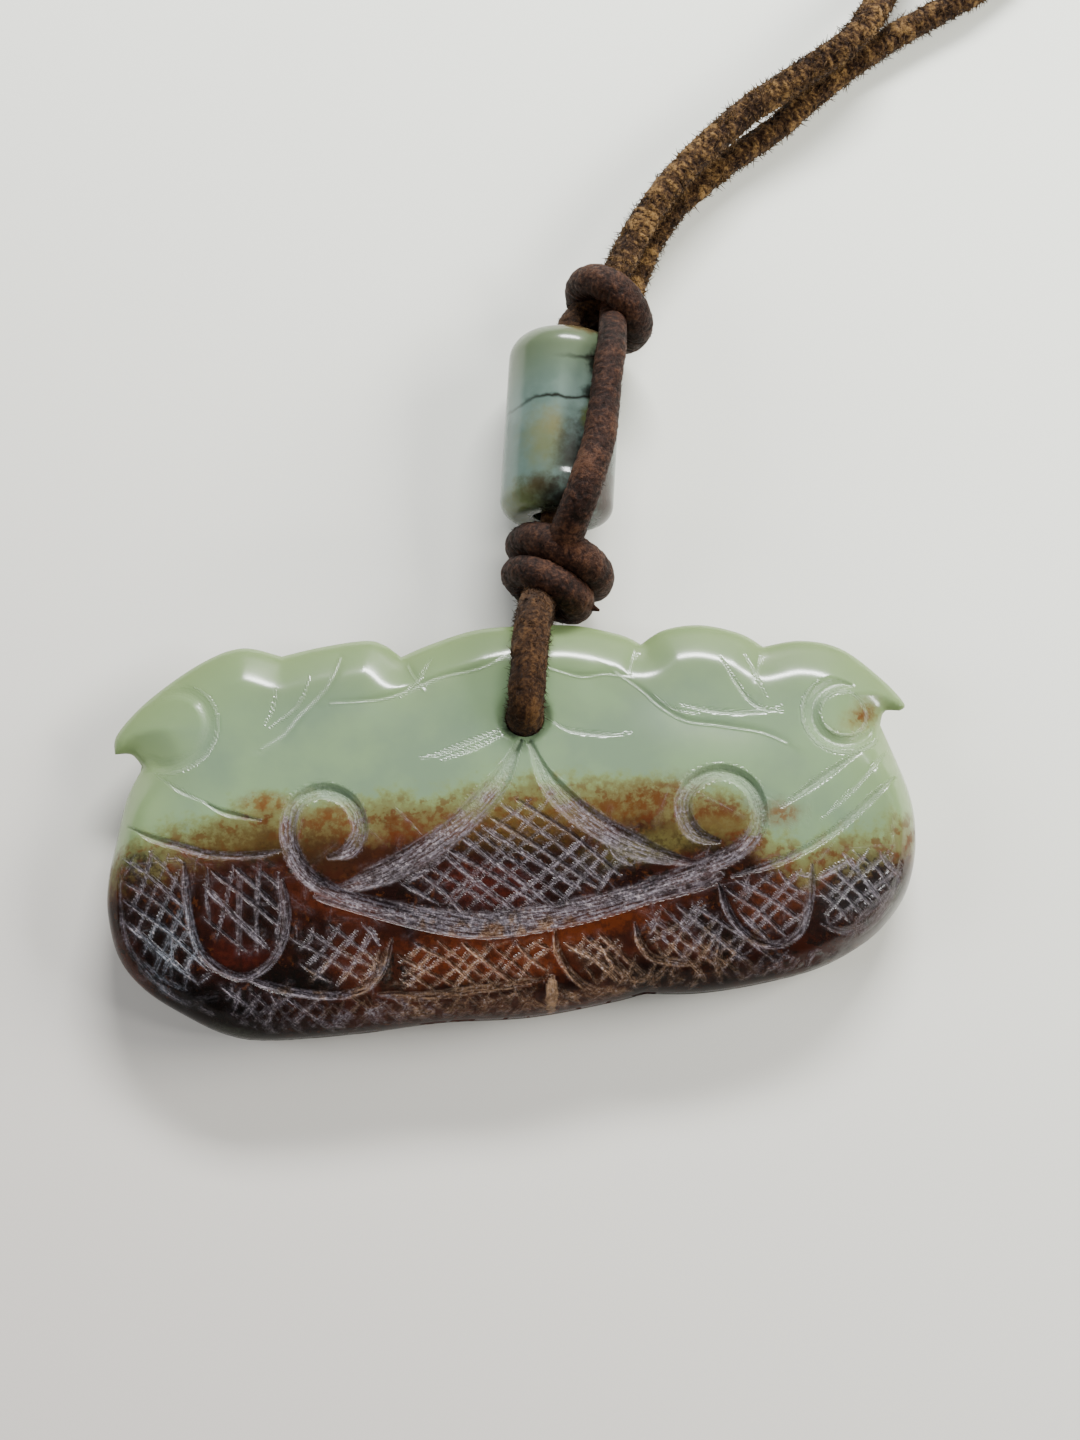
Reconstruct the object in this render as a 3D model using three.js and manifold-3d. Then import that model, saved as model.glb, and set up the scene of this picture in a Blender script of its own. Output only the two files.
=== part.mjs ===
// A carved jade pendant lying face up, with the leather thong that it hangs from.
// The plaque is one piece of two-coloured jade, about 58 mm long. It is lobed along its top edge and carved
// with two scrolls joined by a crescent, petals below them and a beaked head at each upper corner.
// The thong is doubled through the hole near the top edge. Above it come a knot of two wraps, a barrel bead
// with one leg of the thong in its bore and the other over its side, a knot of one wrap, and the two neck
// strands, whose far length is wound into a flat coil with the ends knotted in its middle.
// Millimetres, +Z up. The origin is the middle of the plaque's outline, on the surface that it lies on.
import * as THREE from "three";
import { mergeVertices } from "three/addons/utils/BufferGeometryUtils.js";
import Module from "manifold-3d";

const wasm = await Module();
wasm.setup();

// Plaque: the driving sizes.
const bellyTop = 7.4; // height of the front at the thick lower half
const topThinning = 1.3; // how much lower the front is at the top edge
const endDrop = 0.7; // how much lower it is at the two ends
const halfLength = 29.1;
const upperBack = 2.9; // the back rises by this much towards the top, so the thong passes behind it
const riseFrom = 0.3; // where that rise starts and ends, along Y
const riseTo = 6.4;
const rimShare = 0.42; // the widest line of the edge, as a share of the thickness
const frontRound = 3.2; // width of the rounding of the front edge
const backRound = 2.0;
const holeX = 1.5;
const holeY = 7.1;
const holeRadius = 1.75;

// Thong, bead and knots.
const cordRadius = 1.2;
const touchGap = 0.3;
const beadRadius = 4.2;
const beadLength = 14.4;
const beadBore = 1.75;
const beadFootRound = 1.2; // rounding of the bead's lower and upper ends
const beadHeadRound = 2.0;
const beadFoot = new THREE.Vector3(4.7, 22.5, beadRadius);
const beadLean = 0.12; // run to the right for each millimetre up the photograph
const wrapRadius = 1.35; // half the thickness of one wrap of a knot
const lowerKnot = { centre: new THREE.Vector3(4.3, 18.7, 3.7), lean: 0.51, radius: 4.1, flat: 3.7, wraps: 2 };
const upperKnot = { centre: new THREE.Vector3(9.6, 39.4, 3.4), lean: 0.6, radius: 3.7, flat: 3.4, wraps: 1 };
const endKnot = { centre: new THREE.Vector3(27.2, 91.4, 2.7), lean: -0.6, radius: 3.1, flat: 2.7, wraps: 1 };
const coilCentre = new THREE.Vector2(27, 91);
const coilOuter = 20.4; // outer strand's centreline where the coil starts
const coilInner = 7.6; // and where it ends
const strandPitch = 2.45;

const jadeGreen = new THREE.MeshStandardMaterial({ name: "jade", color: 0xa9bfa4, roughness: 0.25 });
const beadGreen = new THREE.MeshStandardMaterial({ name: "bead_jade", color: 0x9db3a6, roughness: 0.2 });
const leatherBrown = new THREE.MeshStandardMaterial({ name: "leather", color: 0x4a3020, roughness: 0.85 });

const smooth = (value, from, to) => THREE.MathUtils.smoothstep(value, from, to);
const point = (pair) => new THREE.Vector2(pair[0], pair[1]);

// Outline of the plaque. Each run is a smooth curve through its points. Runs meet in the notches and beaks.
// The upper runs go from the notch under the right beak to the notch under the left one, over the lobes.
const upperRuns = [
  { steps: 3, through: [[27.2, 5.5], [27.6, 6.5], [28.7, 6.5]] },
  {
    steps: 11,
    through: [[28.7, 6.5], [29.1, 7.0], [27.6, 9.0], [24.9, 11.4], [22.0, 12.2], [19.2, 11.9]],
  },
  { steps: 7, through: [[19.2, 11.9], [17.6, 13.0], [14.8, 13.8], [12.1, 13.6], [10.3, 12.6]] },
  {
    steps: 13,
    through: [[10.3, 12.6], [8.9, 13.4], [5.6, 14.3], [1.9, 14.5], [-1.7, 14.4], [-5.1, 13.5], [-7.2, 12.7]],
  },
  { steps: 7, through: [[-7.2, 12.7], [-8.4, 13.7], [-9.8, 14.1], [-13.1, 13.8], [-15.9, 13.3]] },
  {
    steps: 11,
    through: [[-15.9, 13.3], [-18.8, 14.1], [-21.9, 13.1], [-25.7, 10.6], [-28.0, 8.2], [-28.2, 6.7]],
  },
  { steps: 3, through: [[-28.2, 6.7], [-27.0, 6.6], [-26.2, 5.6]] },
];
// The lower runs join the same two notches, round the ends and along the base.
const lowerRuns = [
  {
    steps: 23,
    through: [
      [27.2, 5.5], [28.9, 0.7], [29.1, -3.0], [28.3, -6.2], [26.9, -8.3], [24.8, -10.1], [21.4, -11.7],
      [17.0, -12.6], [12.7, -13.0], [8.8, -12.8],
    ],
  },
  {
    steps: 32,
    through: [
      [8.8, -12.8], [6.3, -13.3], [0.6, -14.0], [-5.8, -14.0], [-11.5, -14.4], [-17.8, -14.5], [-21.0, -13.9],
      [-24.1, -12.2], [-26.7, -10.3], [-28.4, -8.0], [-29.1, -4.9], [-29.0, -2.4], [-28.4, 0.2], [-27.5, 3.4],
      [-26.2, 5.6],
    ],
  },
];

function edgePoints(runs) {
  const points = [];
  for (const run of runs) {
    const made = new THREE.SplineCurve(run.through.map(point)).getSpacedPoints(run.steps);
    points.push(...(points.length ? made.slice(1) : made));
  }
  return points;
}

// The line inside the plaque that every section of it starts from: an arch that rises to the two heads.
const spineEnd = 18.5;
const spineLow = 1.0;
const spineRise = 5.8;

function spinePoint(share) {
  const x = spineEnd * Math.cos(Math.PI * share);
  return new THREE.Vector2(x, spineLow + spineRise * (x / spineEnd) ** 4);
}

function frontHeight(x, y) {
  return bellyTop - topThinning * smooth(y, -2, 12) - endDrop * (x / halfLength) ** 2;
}

function backHeight(y) {
  return upperBack * smooth(y, riseFrom, riseTo);
}

// A quarter of an ellipse: 0 at the edge, 1 from the given width inwards.
function rounding(inwards, width) {
  const left = 1 - Math.min(inwards / width, 1);
  return Math.sqrt(1 - left * left);
}

function surfaceHeight(x, y, inwards, front) {
  const high = frontHeight(x, y);
  const low = backHeight(y);
  const rim = low + rimShare * (high - low);
  return front
    ? rim + (high - rim) * rounding(inwards, frontRound)
    : rim - (rim - low) * rounding(inwards, backRound);
}

// Rows of points from the edge to the spine: first the rounding of the edge, then even steps.
const roundingRows = { front: [0, 0.3, 1.1, frontRound], back: [0, 0.6, backRound] };
const evenRows = 3;

function rayRows(edge, spine, front) {
  const length = edge.distanceTo(spine);
  const rows = [...roundingRows[front ? "front" : "back"]];
  const last = rows[rows.length - 1];
  for (let k = 1; k <= evenRows; k++) rows.push(last + ((length - last) * k) / evenRows);
  return rows.map((inwards) => {
    const p = edge.clone().lerp(spine, inwards / length);
    return [p.x, p.y, surfaceHeight(p.x, p.y, inwards, front)];
  });
}

function plaqueBody() {
  const upper = edgePoints(upperRuns);
  const lower = edgePoints(lowerRuns);
  const sections = upper.map((edge, i) => {
    const spine = spinePoint(i / (upper.length - 1));
    const frontTop = rayRows(edge, spine, true);
    const frontBase = rayRows(lower[i], spine, true);
    const backBase = rayRows(lower[i], spine, false);
    const backTop = rayRows(edge, spine, false);
    return [
      ...frontTop,
      ...frontBase.slice(0, -1).reverse(),
      ...backBase.slice(1),
      ...backTop.slice(1, -1).reverse(),
    ];
  });
  const ring = sections[0].length;
  const position = sections.flat(2);
  const index = [];
  for (let i = 0; i + 1 < sections.length; i++) {
    for (let k = 0; k < ring; k++) {
      const a = i * ring + k;
      const b = i * ring + ((k + 1) % ring);
      index.push(a, a + ring, b, b, a + ring, b + ring);
    }
  }
  const geometry = new THREE.BufferGeometry();
  geometry.setAttribute("position", new THREE.Float32BufferAttribute(position, 3));
  geometry.setIndex(index);
  return geometry;
}

// A geometry as a closed solid that can be joined and cut, and back again.
function solid(geometry) {
  const bare = geometry.index ? geometry.toNonIndexed() : geometry.clone();
  bare.deleteAttribute("normal");
  bare.deleteAttribute("uv");
  const merged = mergeVertices(bare, 1e-3);
  const corners = [];
  const index = merged.index.array;
  for (let t = 0; t < index.length; t += 3) {
    const [a, b, c] = [index[t], index[t + 1], index[t + 2]];
    if (a !== b && b !== c && c !== a) corners.push(a, b, c);
  }
  return new wasm.Manifold(
    new wasm.Mesh({
      numProp: 3,
      vertProperties: merged.attributes.position.array,
      triVerts: new Uint32Array(corners),
    }),
  );
}

function geometryOf(made) {
  const mesh = made.getMesh();
  const geometry = new THREE.BufferGeometry();
  geometry.setAttribute("position", new THREE.Float32BufferAttribute(mesh.vertProperties, 3));
  geometry.setIndex([...mesh.triVerts]);
  return geometry;
}

function roundSection(radius, sides) {
  const shape = new THREE.Shape();
  for (let i = 0; i < sides; i++) {
    const turn = (2 * Math.PI * (i + 0.5)) / sides;
    const corner = new THREE.Vector2(radius * Math.cos(turn), radius * Math.sin(turn));
    if (i) shape.lineTo(corner.x, corner.y);
    else shape.moveTo(corner.x, corner.y);
  }
  return shape;
}

function tube(points, radius, stepLength) {
  const path = new THREE.CatmullRomCurve3(points.map((p) => new THREE.Vector3(...p)));
  const steps = Math.round(path.getLength() / stepLength);
  return new THREE.ExtrudeGeometry(roundSection(radius, 8), { extrudePath: path, steps });
}

// Carved channels. Each is a round-bottomed groove, given by its width, its depth and the points it follows.
const carving = [
  // the two scrolls, and the crescent that joins them
  {
    width: 1.6,
    depth: 0.5,
    through: [
      [-12.9, -2.4], [-11.4, -2.0], [-10.6, -0.5], [-11.3, 1.6], [-13.2, 2.5], [-15.1, 1.6], [-15.7, -0.7],
      [-14.8, -3.2], [-12.9, -4.8], [-10.2, -6.0], [-6.7, -7.1],
    ],
  },
  {
    width: 2.2,
    depth: 0.55,
    through: [[-8.4, -6.6], [-5.0, -7.5], [-1.6, -7.9], [1.8, -7.8], [5.2, -7.1], [8.6, -6.2]],
  },
  {
    width: 1.6,
    depth: 0.5,
    through: [
      [7.4, -6.6], [10.3, -5.7], [13.2, -4.8], [15.7, -3.8], [17.3, -2.4], [17.7, -0.6], [17.0, 1.2],
      [15.4, 2.1], [13.7, 1.8], [12.5, 0.6], [12.3, -0.9], [13.0, -2.3], [14.6, -2.9],
    ],
  },
  // the two bands that part below the hole
  {
    width: 1.5,
    depth: 0.4,
    through: [[0.9, 5.0], [-0.2, 2.9], [-1.8, 1.0], [-4.4, -1.3], [-7.9, -3.3], [-11.2, -4.5]],
  },
  {
    width: 1.5,
    depth: 0.4,
    through: [[1.8, 4.9], [2.8, 2.3], [4.6, 0.0], [7.0, -1.9], [9.6, -3.4], [13.0, -4.4]],
  },
  // the petals along the base
  {
    width: 0.8,
    depth: 0.35,
    through: [
      [-23.1, -2.1], [-23.0, -4.8], [-22.5, -7.7], [-21.5, -9.3], [-19.5, -10.5], [-17.9, -10.1],
      [-16.6, -8.7], [-16.0, -6.6], [-16.2, -3.8],
    ],
  },
  {
    width: 0.8,
    depth: 0.35,
    through: [[-18.0, -11.0], [-16.0, -11.7], [-13.3, -12.1], [-11.1, -11.9], [-9.7, -10.8], [-8.7, -8.5]],
  },
  {
    width: 0.8,
    depth: 0.35,
    through: [
      [14.4, -6.0], [15.0, -8.2], [16.3, -9.9], [18.0, -10.5], [19.8, -9.7], [20.7, -7.5], [21.1, -5.0],
    ],
  },
  { width: 0.8, depth: 0.35, through: [[2.7, -8.9], [2.9, -10.4], [4.0, -11.7], [6.0, -12.2]] },
  { width: 0.8, depth: 0.35, through: [[8.3, -8.4], [8.6, -9.9], [9.8, -10.9], [12.7, -11.2]] },
  // the upper edges of the hatched ground at both ends
  {
    width: 0.8,
    depth: 0.3,
    through: [[-26.6, 0.5], [-25.5, -0.1], [-23.1, -1.0], [-21.0, -1.7], [-17.8, -1.9]],
  },
  { width: 0.8, depth: 0.3, through: [[25.2, 3.1], [22.2, 1.2], [19.2, -0.7]] },
  {
    width: 0.8,
    depth: 0.3,
    through: [[27.0, 0.8], [25.6, -0.5], [22.9, -2.6], [19.6, -4.3], [15.3, -5.5]],
  },
  // the wings on both sides of the hole
  {
    width: 0.8,
    depth: 0.3,
    through: [[0.7, 11.9], [-1.5, 11.0], [-4.4, 10.5], [-6.6, 9.7], [-8.8, 9.1], [-12.4, 9.0]],
  },
  { width: 0.8, depth: 0.3, through: [[-15.9, 6.8], [-14.6, 8.3], [-13.3, 9.5], [-12.3, 10.8]] },
  {
    width: 0.8,
    depth: 0.3,
    through: [
      [3.4, 10.7], [5.7, 9.9], [7.5, 10.0], [9.3, 9.4], [11.2, 7.3], [13.0, 6.1], [15.4, 5.5], [18.3, 4.8],
      [20.0, 4.0],
    ],
  },
  { width: 0.8, depth: 0.3, through: [[15.9, 11.0], [16.8, 9.0], [18.1, 7.1], [20.2, 6.4]] },
  // the round cheeks of the two heads
  { width: 0.9, depth: 0.35, through: openRing(-24.1, 8.1, 2.5, 130, -125) },
  { width: 0.9, depth: 0.35, through: openRing(24.4, 6.1, 2.5, 60, 300) },
];
const carvingStep = 1.5; // spacing of the groove's sections along it

function openRing(x, y, radius, from, to) {
  const stops = 9;
  const through = [];
  for (let i = 0; i <= stops; i++) {
    const turn = THREE.MathUtils.degToRad(from + ((to - from) * i) / stops);
    through.push([x + radius * Math.cos(turn), y + radius * Math.sin(turn)]);
  }
  return through;
}

function grooveCutter({ width, depth, through }) {
  const radius = (width * width * 0.25 + depth * depth) / (2 * depth);
  const raised = through.map(([x, y]) => [x, y, frontHeight(x, y) + radius - depth]);
  return solid(tube(raised, radius, carvingStep));
}

function cordHole() {
  const drill = new THREE.CylinderGeometry(holeRadius, holeRadius, 2 * bellyTop, 18);
  drill.rotateX(Math.PI / 2);
  drill.translate(holeX, holeY, bellyTop / 2);
  return solid(drill);
}

function pendant() {
  let carved = solid(plaqueBody());
  for (const groove of carving) carved = carved.subtract(grooveCutter(groove));
  return geometryOf(carved.subtract(cordHole()));
}

// The barrel bead, turned about its own Z axis with its foot at 0 and its bore open at both ends.
function beadShape() {
  const profile = [point([beadBore, 0])];
  const arcSteps = 3;
  const ends = [
    { round: beadFootRound, height: beadFootRound, from: -90 },
    { round: beadHeadRound, height: beadLength - beadHeadRound, from: 0 },
  ];
  for (const { round, height, from } of ends) {
    for (let i = 0; i <= arcSteps; i++) {
      const turn = THREE.MathUtils.degToRad(from + (90 * i) / arcSteps);
      profile.push(point([beadRadius - round + round * Math.cos(turn), height + round * Math.sin(turn)]));
    }
  }
  profile.push(point([beadBore, beadLength]), point([beadBore, 0]));
  return new THREE.LatheGeometry(profile, 24).rotateX(Math.PI / 2);
}

function bead() {
  const mesh = new THREE.Mesh(beadShape(), beadGreen);
  mesh.name = "bead";
  mesh.position.copy(beadFoot);
  mesh.quaternion.setFromUnitVectors(
    new THREE.Vector3(0, 0, 1),
    new THREE.Vector3(beadLean, 1, 0).normalize(),
  );
  return mesh;
}

// A knot, as the outer shape of its wraps round the two strands: a turned stack of round bands.
function knot(name, { centre, lean, radius, flat, wraps }) {
  const profile = [point([0, -wrapRadius * wraps + 0.35])];
  const arcSteps = 4;
  for (let w = 0; w < wraps; w++) {
    const middle = wrapRadius * (2 * w + 1 - wraps);
    for (let i = 0; i <= arcSteps; i++) {
      const turn = THREE.MathUtils.degToRad(-75 + (150 * i) / arcSteps);
      profile.push(
        point([radius - wrapRadius + wrapRadius * Math.cos(turn), middle + wrapRadius * Math.sin(turn)]),
      );
    }
  }
  profile.push(point([0, wrapRadius * wraps - 0.35]));
  const shape = new THREE.LatheGeometry(profile, 18);
  shape.scale(1, 1, flat / radius);
  const mesh = new THREE.Mesh(shape, leatherBrown);
  mesh.name = name;
  mesh.position.copy(centre);
  mesh.rotation.z = -Math.atan(lean);
  return mesh;
}

// Where a strand leaves a knot: a point just off one of the knot's two ends, and one a little further out.
function leaving({ centre, lean, wraps }, end, beside, height) {
  const along = new THREE.Vector2(lean, 1).normalize();
  return [0, 0.35].map((further) => {
    const out = end * (wrapRadius * wraps + touchGap + further);
    return [centre.x + along.x * out + along.y * beside, centre.y + along.y * out - along.x * beside, height];
  });
}

const strandStep = 3.6;
const tightStrandStep = 1.5;

function strand(name, points, stepLength) {
  const mesh = new THREE.Mesh(tube(points, cordRadius, stepLength), leatherBrown);
  mesh.name = name;
  return mesh;
}

// The loop through the hole: out of the lower knot, down over the front, through, and up behind the plaque.
const loopRoute = [
  ...leaving(lowerKnot, -1, 0, 5.4),
  [2.45, 14.0, 7.0],
  [2.2, 12.4, 7.6],
  [1.95, 10.4, 7.9],
  [1.72, 8.8, 7.75],
  [1.56, 7.6, 7.1],
  [1.5, 7.1, 5.9],
  [1.5, 7.1, 4.2],
  [1.52, 7.3, 2.7],
  [1.65, 8.3, 1.6],
  [1.9, 10.2, 1.4],
  [2.2, 12.6, 1.4],
  ...leaving(lowerKnot, -1, 0, 2.1).reverse(),
];

// The leg in the bead's bore, and the leg over the bead's side.
const boreRoute = [
  ...leaving(lowerKnot, 1, -1.0, 4.1),
  [4.85, 23.8, 4.2],
  [5.6, 30.0, 4.2],
  [6.3, 35.6, 4.2],
  [6.75, 37.3, 4.0],
  ...leaving(upperKnot, -1, -1.3, 3.4).reverse(),
];
const sideRoute = [
  ...leaving(lowerKnot, 1, 0.9, 7.6),
  [6.8, 22.4, 9.35],
  [7.4, 24.2, 9.5],
  [8.1, 26.6, 9.1],
  [8.8, 30.3, 8.95],
  [9.45, 34.2, 8.85],
  [9.7, 36.4, 8.75],
  ...leaving(upperKnot, -1, 0.9, 6.5).reverse(),
];

// The two neck strands as far as the coil, first the one that lies on the other.
const neckRoutes = {
  neck_strand_upper: [
    ...leaving(upperKnot, 1, -0.3, 4.6),
    [11.9, 44.3, 4.15],
    [13.3, 46.5, 4.05],
    [15.1, 48.8, 4.05],
    [17.1, 50.8, 4.0],
    [19.1, 52.7, 3.85],
    [21.3, 54.6, 3.7],
    [23.5, 56.0, 3.75],
    [25.5, 57.2, 3.9],
    [27.4, 58.3, 4.0],
    [29.3, 59.5, 4.05],
    [30.9, 61.0, 4.0],
    [32.2, 62.9, 3.6],
    [33.2, 64.9, 2.5],
    [34.5, 67.2, 1.6],
    [36.6, 69.5, 1.3],
    [39.4, 71.2, 1.3],
  ],
  neck_strand_lower: [
    ...leaving(upperKnot, 1, 0.9, 1.8),
    [12.4, 43.0, 1.4],
    [13.4, 45.2, 1.3],
    [14.7, 47.1, 1.3],
    [16.2, 48.8, 1.3],
    [18.0, 50.3, 1.3],
    [19.8, 51.6, 1.3],
    [21.6, 52.8, 1.3],
    [23.7, 54.2, 1.3],
    [25.6, 55.8, 1.3],
    [27.4, 57.2, 1.3],
    [29.0, 58.5, 1.3],
    [30.7, 59.7, 1.3],
    [32.5, 60.8, 1.3],
    [34.3, 61.9, 1.3],
    [36.3, 62.9, 1.3],
    [38.5, 64.0, 1.3],
    [40.8, 65.3, 1.3],
    [43.9, 67.9, 1.3],
    [47.0, 72.4, 1.3],
    [49.2, 78.0, 1.3],
    [50.0, 84.0, 1.3],
  ],
};

// The coil of both strands, as one flat ring of their outer shape, a strand thick.
function coil() {
  const inside = coilInner - strandPitch - cordRadius;
  const outside = coilOuter + cordRadius;
  const edge = 0.5 * cordRadius;
  const profile = [
    [inside + edge, 0.05],
    [outside - edge, 0.05],
    [outside, cordRadius],
    [outside - edge, 2 * cordRadius],
    [inside + edge, 2 * cordRadius],
    [inside, cordRadius],
    [inside + edge, 0.05],
  ].map(point);
  const ring = new THREE.LatheGeometry(profile, 36);
  ring.rotateX(Math.PI / 2);
  const mesh = new THREE.Mesh(ring, leatherBrown);
  mesh.name = "cord_coil";
  mesh.position.set(coilCentre.x, coilCentre.y, 0);
  return mesh;
}

const model = new THREE.Group();
const plaque = new THREE.Mesh(pendant(), jadeGreen);
plaque.name = "pendant";
model.add(plaque, bead());
model.add(knot("lower_knot", lowerKnot), knot("upper_knot", upperKnot), knot("end_knot", endKnot));
model.add(strand("loop_strand", loopRoute, tightStrandStep));
model.add(strand("bore_strand", boreRoute, tightStrandStep));
model.add(strand("side_strand", sideRoute, tightStrandStep));
for (const [name, route] of Object.entries(neckRoutes)) model.add(strand(name, route, strandStep));
model.add(coil());

export default model;
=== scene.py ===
import math
import random

import bmesh
import bpy
import numpy as np
from mathutils import Matrix, Vector, kdtree, noise
from mathutils.geometry import delaunay_2d_cdt


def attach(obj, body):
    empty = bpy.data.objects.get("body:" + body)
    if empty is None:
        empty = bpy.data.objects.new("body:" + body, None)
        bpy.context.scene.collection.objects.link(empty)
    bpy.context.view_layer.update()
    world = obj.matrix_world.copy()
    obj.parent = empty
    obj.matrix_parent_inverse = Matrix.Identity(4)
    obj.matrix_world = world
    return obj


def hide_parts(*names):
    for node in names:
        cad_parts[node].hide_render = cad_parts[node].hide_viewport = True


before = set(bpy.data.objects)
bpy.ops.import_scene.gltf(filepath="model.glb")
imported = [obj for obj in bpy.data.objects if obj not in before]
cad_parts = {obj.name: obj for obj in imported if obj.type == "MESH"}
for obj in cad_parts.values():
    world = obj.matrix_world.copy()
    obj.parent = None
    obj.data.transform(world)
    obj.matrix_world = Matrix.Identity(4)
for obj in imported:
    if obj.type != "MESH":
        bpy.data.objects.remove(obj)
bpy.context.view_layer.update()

mm = 0.001  # everything below is written in millimetres, as the CAD is


# small helpers

def linear(hexColour):
    parts = [int(hexColour[i:i + 2], 16) / 255 for i in (0, 2, 4)]
    return [c / 12.92 if c <= 0.04045 else ((c + 0.055) / 1.055) ** 2.4 for c in parts] + [1.0]


def addNode(tree, kind, links=None, **settings):
    node = tree.nodes.new(kind)
    for name, value in settings.items():
        setattr(node, name, value)
    for socket, value in (links or {}).items():
        if isinstance(value, bpy.types.NodeSocket):
            tree.links.new(value, node.inputs[socket])
        else:
            node.inputs[socket].default_value = value
    return node


def newMaterial(name):
    material = bpy.data.materials.new(name)
    material.use_nodes = True
    tree = material.node_tree
    shader = tree.nodes["Principled BSDF"]
    # object coordinates in millimetres
    coords = addNode(tree, "ShaderNodeVectorMath", {0: addNode(tree, "ShaderNodeTexCoord").outputs["Object"],
                                                    "Scale": 1 / mm}, operation="SCALE")
    return material, tree, shader, coords.outputs[0]


def math2(tree, operation, a, b=0.0, clamp=False):
    return addNode(tree, "ShaderNodeMath", {0: a, 1: b}, operation=operation, use_clamp=clamp).outputs[0]


def plus(tree, a, b):
    return math2(tree, "ADD", a, b)


def minus(tree, a, b):
    return math2(tree, "SUBTRACT", a, b)


def times(tree, a, b, clamp=False):
    return math2(tree, "MULTIPLY", a, b, clamp=clamp)


def spread(tree, value, low, high, toLow=0.0, toHigh=1.0):
    return addNode(tree, "ShaderNodeMapRange", {"Value": value, "From Min": low, "From Max": high,
                                                "To Min": toLow, "To Max": toHigh},
                   interpolation_type="SMOOTHSTEP").outputs["Result"]


def mixColour(tree, share, a, b):
    mix = addNode(tree, "ShaderNodeMix", {"Factor": share, 6: a, 7: b}, data_type="RGBA")
    return mix.outputs[2]


def noiseOn(tree, coords, grain, detail, rough=0.55, offset=(0.0, 0.0, 0.0)):
    # grain is the size of one blotch in millimetres
    place = addNode(tree, "ShaderNodeMapping", {"Vector": coords, "Location": offset})
    texture = addNode(tree, "ShaderNodeTexNoise", {"Vector": place.outputs[0], "Scale": 1 / grain,
                                                   "Detail": detail, "Roughness": rough})
    return texture.outputs["Fac"]


def ramp(tree, value, stops):
    node = addNode(tree, "ShaderNodeValToRGB", {"Fac": value})
    elements = node.color_ramp.elements
    elements[0].position, elements[0].color = stops[0][0], linear(stops[0][1])
    elements[1].position, elements[1].color = stops[-1][0], linear(stops[-1][1])
    for position, colour in stops[1:-1]:
        elements.new(position).color = linear(colour)
    return node.outputs["Color"]


def patch(tree, coords, ragged, at, size, turn, soft):
    # an oval in plan with a ragged, soft edge: 1 inside and 0 outside
    place = addNode(tree, "ShaderNodeMapping", {"Vector": coords, "Location": (*at, 0.0),
                                                "Rotation": (0.0, 0.0, math.radians(turn)),
                                                "Scale": (*size, 1.0)}, vector_type="TEXTURE")
    flat = addNode(tree, "ShaderNodeVectorMath", {0: place.outputs[0], 1: (1.0, 1.0, 0.0)},
                   operation="MULTIPLY")
    reach = addNode(tree, "ShaderNodeVectorMath", {0: flat.outputs[0]}, operation="LENGTH").outputs["Value"]
    return spread(tree, plus(tree, reach, ragged), 1.0 + soft, 1.0 - soft)


def smoothPath(points, perSpan=12):
    # a uniform Catmull-Rom curve through the points
    p = np.array(points, float)
    p = np.vstack([p[0], p, p[-1]])
    t = np.linspace(0, 1, perSpan, endpoint=False)[:, None]
    spans = [
        0.5 * (2 * b + (c - a) * t + (2 * a - 5 * b + 4 * c - d) * t ** 2 + (3 * b - a - 3 * c + d) * t ** 3)
        for a, b, c, d in zip(p, p[1:], p[2:], p[3:])
    ]
    return np.vstack([*spans, p[-1:]])


def pathRun(path):
    return np.concatenate([[0], np.cumsum(np.linalg.norm(np.diff(path, axis=0), axis=1))])


def evenly(path, count):
    run = pathRun(path)
    at = np.linspace(0, run[-1], count)
    return np.stack([np.interp(at, run, path[:, k]) for k in range(path.shape[1])], 1)


def smooth(value, low, high):
    t = np.clip((value - low) / (high - low), 0, 1)
    return t * t * (3 - 2 * t)


def addPiece(name, mesh, material, slot, *nodes):
    mesh.materials.clear()
    mesh.materials.append(material)
    piece = bpy.data.objects.new(name, mesh)
    bpy.context.scene.collection.objects.link(piece)
    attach(piece, "root")
    if nodes:
        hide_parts(*nodes)
    return piece


def gridMesh(name, across, along, place, attributes=()):
    # a grid of cells that place() lays on the shape: it gets arrays of u and v from 0 to 1, and gives the
    # points in millimetres and one array for each attribute
    bm = bmesh.new()
    bm.loops.layers.uv.new("UVMap")
    bmesh.ops.create_grid(bm, x_segments=across, y_segments=along, size=0.5, calc_uvs=True)
    mesh = bpy.data.meshes.new(name)
    bm.to_mesh(mesh)
    flat = np.empty(len(mesh.vertices) * 3, np.float32)
    mesh.vertices.foreach_get("co", flat)
    u, v = flat[0::3].astype(float) + 0.5, flat[1::3].astype(float) + 0.5
    points, *values = place(u, v)
    mesh.vertices.foreach_set("co", (points * mm).astype(np.float32).ravel())
    for label, value in zip(attributes, values):
        mesh.attributes.new(label, "FLOAT", "POINT").data.foreach_set("value", value.astype(np.float32))
    bm.free()
    return mesh


def closeMesh(mesh, join=1e-6):
    bm = bmesh.new()
    bm.from_mesh(mesh)
    bmesh.ops.remove_doubles(bm, verts=bm.verts, dist=join)
    bmesh.ops.dissolve_degenerate(bm, edges=bm.edges, dist=join)
    open_ = [edge for edge in bm.edges if edge.is_boundary]
    if open_:
        bmesh.ops.holes_fill(bm, edges=open_, sides=0)
    bmesh.ops.recalc_face_normals(bm, faces=bm.faces)
    for face in bm.faces:
        face.smooth = True
    bm.to_mesh(mesh)
    bm.free()
    return mesh


# camera: a phone held over the table, tipped a little towards the lower edge of the picture

view = {"target": (2.68, 8.42, 0.0), "distance": 200.0, "tilt": 14.0, "turn": -3.5, "lens": 67.5}

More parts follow.
